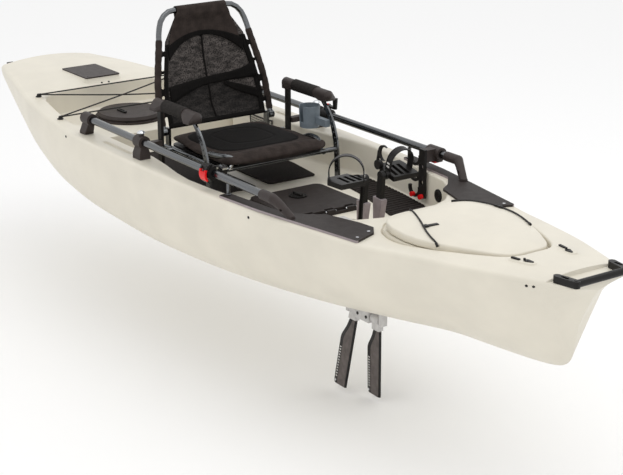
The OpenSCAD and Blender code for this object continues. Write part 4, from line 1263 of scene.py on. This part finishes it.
class KAYAK_OT_cushion(bpy.types.Operator):
    """Seat cushion: padded cloth blown up over its base, with a front roll, a sewn panel and side tubes"""

    bl_idname = "kayak.cushion"
    bl_label = "Cushion"

    def execute(self, context):
        shell = Patchwork()
        shell.solid(cushion_rows(ROOM_TO_SWELL))
        piece = shell.piece("seat_cushion_cover", "hull", "seat")
        held_below = sizes().seat_height / MM + HELD_HEIGHT
        mesh = swell(piece, lambda p: p[:, 2] < held_below, pressure=4.0, limit=4.0, voxel=5.0)
        sew(mesh, [
            (lambda p: (sewn_panel(p) - 1) * 175, 4.5, 4.0),
            (lambda p: (sewn_panel(p) - 0.62) * 170 + 12 * np.abs(np.sin(p[:, 1] / 60)), 4.0, 1.8),
            (lambda p: p[:, 0] - (94 - 34 * (p[:, 1] / FRONT_HALF) ** 2), 4.5, 3.5),
        ])
        mesh.materials.clear()
        for finish in ("seat", "cloth"):
            mesh.materials.append(FINISHES[finish])
        middles = np.array([face.center for face in mesh.polygons]) / MM
        mesh.polygons.foreach_set("material_index", (sewn_panel(middles) > 1).astype(int))
        shade_smooth(mesh)
        soft = piece.modifiers.new("soft", "SUBSURF")
        soft.levels = soft.render_levels = 1
        self.tubes()
        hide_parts("seat_cushion")
        return {"FINISHED"}

    def tubes(self):
        """Short bent tubes that hold the cushion's front corners."""
        made = Patchwork()
        route = [(-20, 222, 384), (10, 226, 397), (70, 219, 403), (116, 200, 403), (150, 176, 386)]
        for s in SIDES.values():
            path = smooth_path([(x, s * y, z) for x, y, z in route], 24)
            made.tube(path, np.full(len(path), 10.5), 20)
        made.piece("seat_cushion_tubes", "hull", "metal")


def back_half(h):
    """Half-width of the back's panel at a height above the hinge."""
    h = np.asarray(h, float)
    taper = TAPER_HALF - (h - TAPER_FROM) * TAPER_SLOPE
    return np.where(h > TAPER_FROM, taper, curve_at(TUBE_LINE, h) - TUBE_GAP)


def back_sag(h):
    """How far the panel's middle hangs behind its frame."""
    whole_sag = SAG * np.sin(math.pi * np.minimum(1, h / (BACK_TOP + 4)))
    return whole_sag + LOW_SAG * np.exp(-((h - LOW_SAG_AT) / LOW_SAG_REACH) ** 2)


def back_place(points):
    """Points of the upright back, as forward, across and up, leaned into place."""
    points = np.asarray(points, float)
    lean = sizes().recline
    x, y, h = points[..., 0], points[..., 1], points[..., 2]
    return np.stack([HINGE[0] + x * math.cos(lean) - h * math.sin(lean), y,
                     HINGE[1] + x * math.sin(lean) + h * math.cos(lean)], -1)


def back_point(y, h, lift):
    """Points on the panel's face, lifted forward."""
    y, h = np.broadcast_arrays(np.asarray(y, float), np.asarray(h, float))
    share = np.clip(y / back_half(h), -1, 1)
    fan = np.arctan2(y, FOLD_CENTRE - h)
    folds = FOLD_DEPTH * np.sin(FOLD_COUNT * fan) * (1 - share ** 2)
    folds = folds * smooth_step(-h, -350, -290) * smooth_step(h, 30, 90)
    return np.stack([lift + folds - back_sag(h) * (1 - share ** 2), y, h], -1)


class KAYAK_OT_seat_back(bpy.types.Operator):
    """Seat back: mesh panel with a cloth hood, belts, hems and lacing, and cloth round the tubes"""

    bl_idname = "kayak.seat_back"
    bl_label = "Seat back"

    def execute(self, context):
        panel = Patchwork()
        share, heights = np.linspace(-1, 1, 61), np.linspace(8, BACK_TOP - 16, 90)
        self.drape(panel, [back_point(share * (back_half(h) - 1), h, 0) for h in heights])
        sheet = panel.piece("seat_back_mesh", "seat_back", "mesh")
        # The mesh below the belts gets painted shade
        self.double(sheet.data)
        trims = [self.hood(), self.belts(), self.hems(), self.sleeves()]
        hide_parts("seat_back_panel")
        return {"FINISHED"}

    def drape(self, made, rows):
        """Cloth through rows of points of the upright back."""
        made.strip([back_place(row) for row in rows], closed=False)

    def thick_cloth(self, made, name, finish, thickness):
        """A trim of the back, with its thickness."""
        piece = made.piece(name, "seat_back", finish)
        piece.modifiers.new("thick", "SOLIDIFY").thickness = thickness * MM
        return piece

    def double(self, mesh):
        """Painted shade: the mesh below the belts takes a darker copy of its finish."""
        mesh.materials.append(FINISHES["mesh_double"])
        under = [(-190, 131), (-90, 157), (19, 172), (70, 154), (120, 129), (203, 93)]
        lean = sizes().recline
        for face in mesh.polygons:
            x, y, z = face.center / MM
            h = (z - HINGE[1]) * math.cos(lean) - (x - HINGE[0]) * math.sin(lean)
            face.material_index = int(h < curve_at(under, y))

    def hood(self):
        """Cloth pulled over the top tube, with a lower edge cut to an arch."""
        made = Patchwork()
        share = np.linspace(-1, 1, 49)
        edge = [(320, 160), (345, 155), (410, 131), (BACK_TOP, HOOD_HALF)]
        low = HOOD_ARCH - HOOD_DROP * share ** 2
        rows = []
        for t in np.linspace(0, 1, 16):
            h = low + (440 - low) * t
            row = back_point(share * curve_at(edge, h), h, 3.5)
            row[..., 0] += (13.5 - row[..., 0]) * smooth_step(h, 405, 442)
            rows.append(row)
        over = [(16 * math.cos(a), HOOD_HALF, BACK_TOP + 16 * math.sin(a))
                for a in np.radians((-30, 0, 30, 60, 90, 120, 150, 180, 205))]
        behind = [(-12.0, HOOD_HALF + 2, h) for h in (444, 436, 428)]
        flat = np.ones(len(share))
        rows += [np.stack([forward * flat, share * half, h * flat], -1) for forward, half, h in over + behind]
        self.drape(made, rows)
        return self.thick_cloth(made, "seat_back_hood", "cloth", 1.6)

    def belts(self):
        """Belts across the lower back, the seam down the middle and the binding under the hood."""
        made = Patchwork()
        belts = [
            ([(-190, 166), (-90, 178), (19, 188), (120, 194), (170, 206), (209, 226)],
             [(-196, 96), (-90, 136), (14, 157), (120, 159), (170, 158), (211, 156)]),
            ([(70, 162), (120, 144), (203, 112)], [(70, 146), (120, 114), (203, 74)]),
        ]
        for upper, lower in belts:
            y = np.linspace(upper[0][0], upper[-1][0], 60)
            top, low = curve_at(upper, y), curve_at(lower, y)
            self.drape(made, [back_point(y, low + (top - low) * t, 3.2) for t in np.linspace(0, 1, 5)])
        h = np.linspace(12, 360, 70)
        self.drape(made, [back_point(np.full(len(h), y), h, 2.2) for y in (-3.0, 0.0, 3.0)])
        y = np.linspace(-170, 170, 60)
        top = HOOD_ARCH + 4 - HOOD_DROP * (y / 160) ** 2
        low = 350 - 84 * np.abs(y / 170) ** 2.2
        self.drape(made, [back_point(y, low + (top - low) * t, 3.4 + 1.4 * t) for t in np.linspace(0, 1, 6)])
        return self.thick_cloth(made, "seat_back_belts", "seat", 1.8)

    def hems(self):
        """Hems round the panel and the straps that lace it to the tubes."""
        made = Patchwork()
        for s in SIDES.values():
            h = np.linspace(8, 330, 60)
            self.drape(made, [back_point(s * (back_half(h) - d), h, 2.6) for d in (-1.0, 6.0, 13.0, 21.0)])
            for middle, tall in ((296, 34), (226, 20), (150, 46), (64, 30)):
                rows = []
                for t in np.linspace(0, 1, 7):
                    row_h = middle + tall * np.linspace(-0.5, 0.5, 6) * (1 - 0.45 * math.sin(math.pi * t))
                    y = back_half(row_h) - 4 + (curve_at(TUBE_LINE, row_h) - back_half(row_h) - 4) * t
                    rows.append(np.stack([2.4 + 3.0 * t * np.ones(len(y)), s * y, row_h], -1))
                self.drape(made, rows)
        share = np.linspace(-1, 1, 60)
        self.drape(made, [back_point(share * back_half(h), h, 2.8) for h in (8.0, 16.0, 26.0)])
        return self.thick_cloth(made, "seat_back_hems", "seat", 1.6)

    def sleeves(self):
        """Cloth sewn round the lower part of each tube, gathered a little at its ends."""
        made = Patchwork()
        h = np.linspace(22, 350, 54)
        radii = 13.2 + 0.5 * np.sin(h / 9) + 0.4 * np.sin(h / 4.3)
        radii[0], radii[-1] = 11.6, 11.6
        for s in SIDES.values():
            path = back_place(np.stack([np.zeros(len(h)), s * curve_at(TUBE_LINE, h), h], -1))
            made.strip(tube_rows(path, radii, 24))
        return made.piece("seat_back_sleeves", "seat_back", "cloth")


class KAYAK_OT_net_pocket(bpy.types.Operator):
    """Net pocket on the cockpit wall: knotted net with a hem"""

    bl_idname = "kayak.net_pocket"
    bl_label = "Net pocket"

    def execute(self, context):
        middle, wall, foot, top = -505, 350.5, 266, 346
        across = np.linspace(0, 1, 19)
        rows = []
        for v in np.linspace(0, 1, 10):
            x = middle + (across - 0.5) * (148 + 20 * v)
            belly = 5 + 12 * np.sin(math.pi * across) ** 0.6 * math.sin(math.pi * (0.25 + 0.6 * (1 - v)))
            rows.append(np.column_stack([x, wall - belly, np.full(len(x), foot + (top - foot) * v)]))
        net = Patchwork()
        net.strip(rows, closed=False)
        piece = net.piece("net_pocket_net", "hull", "net")
        hem = Patchwork()
        sides = [np.array([row[k] for row in rows]) for k in (0, -1)]
        for edge, radius in ((rows[-1], 3.0), (rows[0], 2.4), (sides[0], 2.4), (sides[1], 2.4)):
            hem.tube(edge, np.full(len(edge), radius))
        trim = hem.piece("net_pocket_hem", "hull", "elastic")
        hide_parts("net_pocket")
        return {"FINISHED"}


# Small details

# Fins: station of the front edge and tilt. Straps: tilt, spin, place from the axle and half-width
FIN_AXIS = -75
FINS = {"front": (779, 0.0), "rear": (648, math.radians(-11))}
PEDAL_AXLE = (727, 0, 442)
STRAPS = {"left": (math.radians(12), 0.0, (-4, 112, 42), 50),
          "right": (math.radians(-2), math.radians(38), (-4, 112, 36), 62)}
HATCH_HINGE = (476, 252)
HATCH_HINGE_ENDS = [(-21, 21), (69, 111)]


def turned(points, tilt, shift, spin):
    """Points spun about Z, moved, then tilted about Y, all in a pedal's own frame."""
    x, y, z = np.asarray(points, float).T
    x, y = x * math.cos(spin) - y * math.sin(spin), x * math.sin(spin) + y * math.cos(spin)
    x, y, z = x + shift[0], y + shift[1], z + shift[2]
    return np.column_stack([x * math.cos(tilt) + z * math.sin(tilt), y,
                            z * math.cos(tilt) - x * math.sin(tilt)])


class KAYAK_OT_details(bpy.types.Operator):
    """Fin edges with their marks and bolts, strap buckles, and hinge pins of the centre hatch"""

    bl_idname = "kayak.details"
    bl_label = "Details"

    def execute(self, context):
        for end in FINS:
            self.fin(end, *FINS[end])
        for side in SIDES:
            self.buckles(side, *STRAPS[side])
        pins = Patchwork()
        x, z = HATCH_HINGE
        for ends in HATCH_HINGE_ENDS:
            for y, outward in zip(ends, (-1, 1)):
                pins.dome((x, y, z), (0, outward, 0), 4.0, 3.0)
        pins.piece("centre_hatch_pins", "hull", "steel")
        return {"FINISHED"}

    def fin(self, end, lead, tilt):
        """Dark edges along a fin, pale marks on the trailing one, and a bolt; lead is its front edge."""
        chord = [(-296, 66), (-284, 72), (-200, 74), (-126, 75), (-70, 50), (-44, 41)]
        level = np.linspace(-295.5, -44, 60)
        flat = np.ones(len(level))

        def place(points):
            x, y, z = np.asarray(points, float).T
            return np.column_stack([x, y * math.cos(tilt) - z * math.sin(tilt),
                                    FIN_AXIS + y * math.sin(tilt) + z * math.cos(tilt)])
        edges, marks, heads = Patchwork(), Patchwork(), Patchwork()
        trail = [(19, 3.4), (4, 2.1), (-0.8, 1.0), (-0.8, -1.0), (4, -2.1), (19, -3.4)]
        front = [(-4.5, 4.9), (-1, 4.3), (0.7, 3.0), (0.7, -3.0), (-1, -4.3), (-4.5, -4.9)]
        for base, section in ((lead - curve_at(chord, level), trail), (lead * flat, front)):
            rows = [place(np.column_stack([base + x, y * flat, level])) for x, y in section]
            edges.strip(rows, closed=False)
        for s in SIDES.values():
            for h in np.arange(-270, -150, 10.0):
                x = lead - float(curve_at(chord, h))

                def on_face(q, s=s, x=x):
                    return place([(q[0], s * (2.2 + q[1] + 0.09 * (q[0] - x)), q[2])])[0]
                marks.block((x + 6, -0.3, h), (x + 16, 0.3, h + 4.2), 0.2, on_face)
            middle, outward = place([(lead - 64, s * 2.4, -284), (0, s, -FIN_AXIS)])
            heads.dome(middle, outward * (0, 1, 1), 5.0, 2.2)
        edges.piece(f"fin_edges_{end}", f"fin_{end}", "black")
        marks.piece(f"fin_marks_{end}", f"fin_{end}", "pale")
        heads.piece(f"fin_bolts_{end}", f"fin_{end}", "steel")

    def buckles(self, side, tilt, spin, shift, reach):
        """Pale ladder buckles on the legs of a foot strap."""
        made = Patchwork()

        def place(q):
            x, y, z = turned([q], tilt, shift, spin)[0] + PEDAL_AXLE
            return (x, SIDES[side] * y, z)
        for out in (-1, 1):
            for z in (-18, -6):
                low, high = sorted((out * (reach - 0.4), out * (reach + 1.6)))
                made.block((-7, low, z), (7, high, z + 7), 0.8, place)
        made.piece(f"strap_buckles_{side}", f"pedal_{side}", "pale")


# Finishes of the frame's own pieces

WELD_WITHIN = 1e-5
FLAT_WITHIN = math.radians(1)
ROUNDED_ABOVE = math.radians(35)


def dress(node, *finishes, edge=1.2):
    """Gives a frame piece its finishes and rounds its edges."""
    piece = NODES[node]
    mesh = piece.data
    mesh.materials.clear()
    for finish in finishes:
        mesh.materials.append(FINISHES[finish])
    mesh.polygons.foreach_set("material_index", [0] * len(mesh.polygons))
    shade_smooth(mesh)
    weld = piece.modifiers.new("weld", "WELD")
    weld.merge_threshold = WELD_WITHIN
    flat = piece.modifiers.new("flat", "DECIMATE")
    flat.decimate_type = "DISSOLVE"
    flat.angle_limit = FLAT_WITHIN
    flat.delimit = {"MATERIAL"}
    soft = piece.modifiers.new("edge", "BEVEL")
    soft.width = edge * MM
    soft.segments = 2
    soft.limit_method = "ANGLE"
    soft.angle_limit = ROUNDED_ABOVE
    soft.use_clamp_overlap = True
    normals = piece.modifiers.new("normals", "WEIGHTED_NORMAL")
    normals.keep_sharp = False


def paint(node, index, test):
    """Sets the finish of the faces whose middle, in millimetres, passes a test."""
    piece = NODES[node]
    for face in piece.data.polygons:
        if test(piece.matrix_world @ face.center / MM):
            face.material_index = index


class KAYAK_OT_fittings(bpy.types.Operator):
    """Rails, brackets, boards, hatches, clamps and other fittings that keep the frame's shape"""

    bl_idname = "kayak.fittings"
    bl_label = "Fittings"

    def execute(self, context):
        for side in SIDES:
            dress(f"rail_{side}", "metal", edge=0.8)
            dress(f"rear_bracket_{side}", "dark", edge=2.5)
            dress(f"mid_bracket_{side}", "dark", "steel", edge=2)
            dress(f"elbow_{side}", "dark", edge=1.5)
            # A board's third finish is a painted highlight along its outboard edge
            dress(f"board_{side}", "board", "steel", "collar", edge=1.5)
            dress(f"rail_prop_{side}", "metal")
            dress(f"mat_fwd_{side}", "mat", edge=0.8)
            dress(f"mat_aft_{side}", "mat", edge=1.5)
            dress(f"seat_side_{side}", "metal", "black")
            dress(f"armrest_{side}", "grip", "dark", edge=2)
            dress(f"crank_{side}", "black", "collar")
            dress(f"pedal_{side}", "black", edge=1)
        for node in ("stern_handle", "round_hatch_ring", "stern_pad", "rudder_bracket", "rudder_stock"):
            dress(node, "dark")
        for node in ("centre_hatch_frame", "centre_hatch_lid"):
            dress(node, "board")
        for node in ("centre_latch", "bow_hooks", "cargo_eyes", "rod_ports", "steering_clamp",
                     "rudder_blade", "hull_screws"):
            dress(node, "black")
        dress("round_hatch_lid", "dark", "black")
        dress("bow_handle", "black", edge=5)
        dress("rack_clamp", "dark", "red")
        dress("rod_rack", "black", "red")
        dress("steering_lever", "black", "red")
        dress("lever_clamp", "black", "steel")
        dress("clamp_lever", "black", "red")
        dress("cup_holder", "cup")
        dress("seat_frame", "metal", "black")
        dress("seat_back_frame", "metal")
        dress("drive_spine", "casting", "black")
        for end in ("front", "rear"):
            dress(f"fin_hub_{end}", "casting")
            dress(f"fin_blade_{end}", "rubber", edge=0.8)
        self.paint_details()
        return {"FINISHED"}

    def paint_details(self):
        """Second finishes: domes, screws, collars, knobs, tabs and bolts, told apart by where they stand, and
        a painted highlight along each board's outboard edge.
        """
        # The cranks lean forward, and their collars stand proud of the arms
        lean = math.atan2(27, 302)
        for side in SIDES:
            paint(f"mid_bracket_{side}", 1, lambda p: p.z > 464.2)
            paint(f"board_{side}", 1, lambda p: p.z > 374.2)
            # Painted highlight: the outboard side faces of a board take the pale mauve-grey
            paint(f"board_{side}", 2, lambda p: 366 < p.z < 373.2 and abs(p.y) > 300)
            paint(f"seat_side_{side}", 1, lambda p: p.x < -150)
            paint(f"armrest_{side}", 1, lambda p: p.x < -177 or p.x > -33)
            paint(f"crank_{side}", 1, lambda p: 255 < p.z < 366 and (
                abs(p.y) < 27.6 or abs(p.y) > 44.4
                or abs((p.x - 700) * math.cos(lean) - (p.z - 140) * math.sin(lean)) > 14.3))
        paint("rack_clamp", 1, lambda p: p.z < 399.8)
        paint("rod_rack", 1, lambda p: p.y < 335.7 and p.z < 300)
        paint("steering_lever", 1, lambda p: p.z > 472.1 and math.hypot(p.x + 108, p.y - 402) < 6.5)
        paint("lever_clamp", 1, lambda p: p.x > 321.5 and p.z > 446.8 and 355 < abs(p.y) < 394)
        paint("clamp_lever", 1, lambda p: 406 < p.z < 447 and p.y < -430)
        paint("drive_spine", 1, lambda p: abs(p.y) > 20.2 and p.z < -50)
        paint("seat_frame", 1, lambda p: 363.9 < p.z < 370.2 and abs(p.y) < 217)
        paint("round_hatch_lid", 1, lambda p: p.z > 324.2)


# Stage

STAGE_HALF = 30.0
KEY_SPOT, KEY_SIZE = (0.6, 0.8, 4.2), (5.0, 4.0)
STRIP_SPOT, STRIP_SIZE = (0.3, -0.2, 3.6), (4.5, 0.2)


class KAYAK_OT_stage(bpy.types.Operator):
    """Camera, floor and soft studio light"""

    bl_idname = "kayak.stage"
    bl_label = "Stage"

    def execute(self, context):
        view = context.scene.kayak_view
        camera = self.placed(context, "camera", bpy.data.cameras.new("camera"))
        camera.data.sensor_width = 36.0
        camera.data.lens = view.lens
        camera.data.clip_end = 100.0
        camera.matrix_world = self.facing(view.eye, view.aim) @ Matrix.Rotation(view.roll, 4, "Z")
        context.scene.camera = camera
        context.scene.view_settings.view_transform = "Standard"
        self.floor(context, view)
        self.world(context, view)
        self.lamp(context, "key_light", KEY_SPOT, KEY_SIZE, view.key_power)
        self.lamp(context, "strip_light", STRIP_SPOT, STRIP_SIZE, view.strip_power)
        return {"FINISHED"}

    def placed(self, context, name, data):
        """A new object of the stage."""
        made = bpy.data.objects.new(name, data)
        context.scene.collection.objects.link(made)
        return made

    def facing(self, eye, aim):
        """Placement at a point, looking at another."""
        eye, aim = Vector(eye), Vector(aim)
        return Matrix.Translation(eye) @ (aim - eye).to_track_quat("-Z", "Y").to_matrix().to_4x4()

    def floor(self, context, view):
        """Wide plain floor under the lowest piece."""
        z = CAD_BOX[0][2] - view.floor_drop
        mesh = bpy.data.meshes.new("stage_floor")
        corners = [(x * STAGE_HALF, y * STAGE_HALF, z) for x, y in ((-1, -1), (1, -1), (1, 1), (-1, 1))]
        mesh.from_pydata(corners, [], [(0, 1, 2, 3)])
        floor = self.placed(context, "stage_floor", mesh)
        mesh.materials.append(painted_paper())

    def world(self, context, view):
        """Even light all round; the camera, metal and glass see it as white."""
        world = bpy.data.worlds.new("studio_world")
        context.scene.world = world
        world.use_nodes = True
        tree = world.node_tree
        tree.nodes.clear()
        ray = add(tree, "ShaderNodeLightPath")
        seen = ray.outputs["Is Camera Ray"]
        for kind in ("Is Glossy Ray", "Is Transmission Ray"):
            either = add(tree, "ShaderNodeMath", {0: seen, 1: ray.outputs[kind]}, operation="MAXIMUM")
            seen = either.outputs["Value"]
        even = add(tree, "ShaderNodeBackground", {"Color": WHITE, "Strength": view.world_level})
        white = add(tree, "ShaderNodeBackground", {"Color": WHITE, "Strength": 1.0})
        mix = add(tree, "ShaderNodeMixShader", {0: seen, 1: even.outputs["Background"],
                                                2: white.outputs["Background"]})
        add(tree, "ShaderNodeOutputWorld", {"Surface": mix.outputs["Shader"]})

    def lamp(self, context, name, spot, size, power):
        """A rectangular light that looks at the middle of the hull."""
        lamp = bpy.data.lights.new(name, "AREA")
        lamp.shape = "RECTANGLE"
        lamp.size, lamp.size_y = size
        lamp.energy = power
        self.placed(context, name, lamp).matrix_world = self.facing(spot, (0.0, 0.0, 0.0))


class KAYAK_PT_panel(bpy.types.Panel):
    """Shows the sizes, colours and view of the kayak, with a button for each step that builds it"""

    bl_idname = "KAYAK_PT_panel"
    bl_label = "Kayak"
    bl_space_type = "VIEW_3D"
    bl_region_type = "UI"
    bl_category = "Kayak"

    def draw(self, context):
        for group in (context.scene.kayak_sizes, context.scene.kayak_colours, context.scene.kayak_view):
            box = self.layout.box()
            for name in group.__annotations__:
                box.prop(group, name)
        for operator in OPERATORS:
            self.layout.operator(operator.bl_idname)


GROUPS = (KayakSizes, KayakColours, KayakView)
OPERATORS = (KAYAK_OT_stage, KAYAK_OT_lines, KAYAK_OT_hull, KAYAK_OT_bow_lid, KAYAK_OT_cushion,
             KAYAK_OT_seat_back, KAYAK_OT_net_pocket, KAYAK_OT_details, KAYAK_OT_fittings)
CLASSES = GROUPS + OPERATORS + (KAYAK_PT_panel,)


def register():
    for one in CLASSES:
        bpy.utils.register_class(one)
    bpy.types.Scene.kayak_sizes = PointerProperty(type=KayakSizes)
    bpy.types.Scene.kayak_colours = PointerProperty(type=KayakColours)
    bpy.types.Scene.kayak_view = PointerProperty(type=KayakView)


def unregister():
    del bpy.types.Scene.kayak_view
    del bpy.types.Scene.kayak_colours
    del bpy.types.Scene.kayak_sizes
    for one in reversed(CLASSES):
        bpy.utils.unregister_class(one)


def main():
    register()
    make_finishes()
    bpy.ops.kayak.stage()
    bpy.ops.kayak.lines()
    bpy.ops.kayak.hull()
    bpy.ops.kayak.bow_lid()
    bpy.ops.kayak.cushion()
    bpy.ops.kayak.seat_back()
    bpy.ops.kayak.net_pocket()
    bpy.ops.kayak.details()
    bpy.ops.kayak.fittings()


if __name__ == "__main__":
    main()
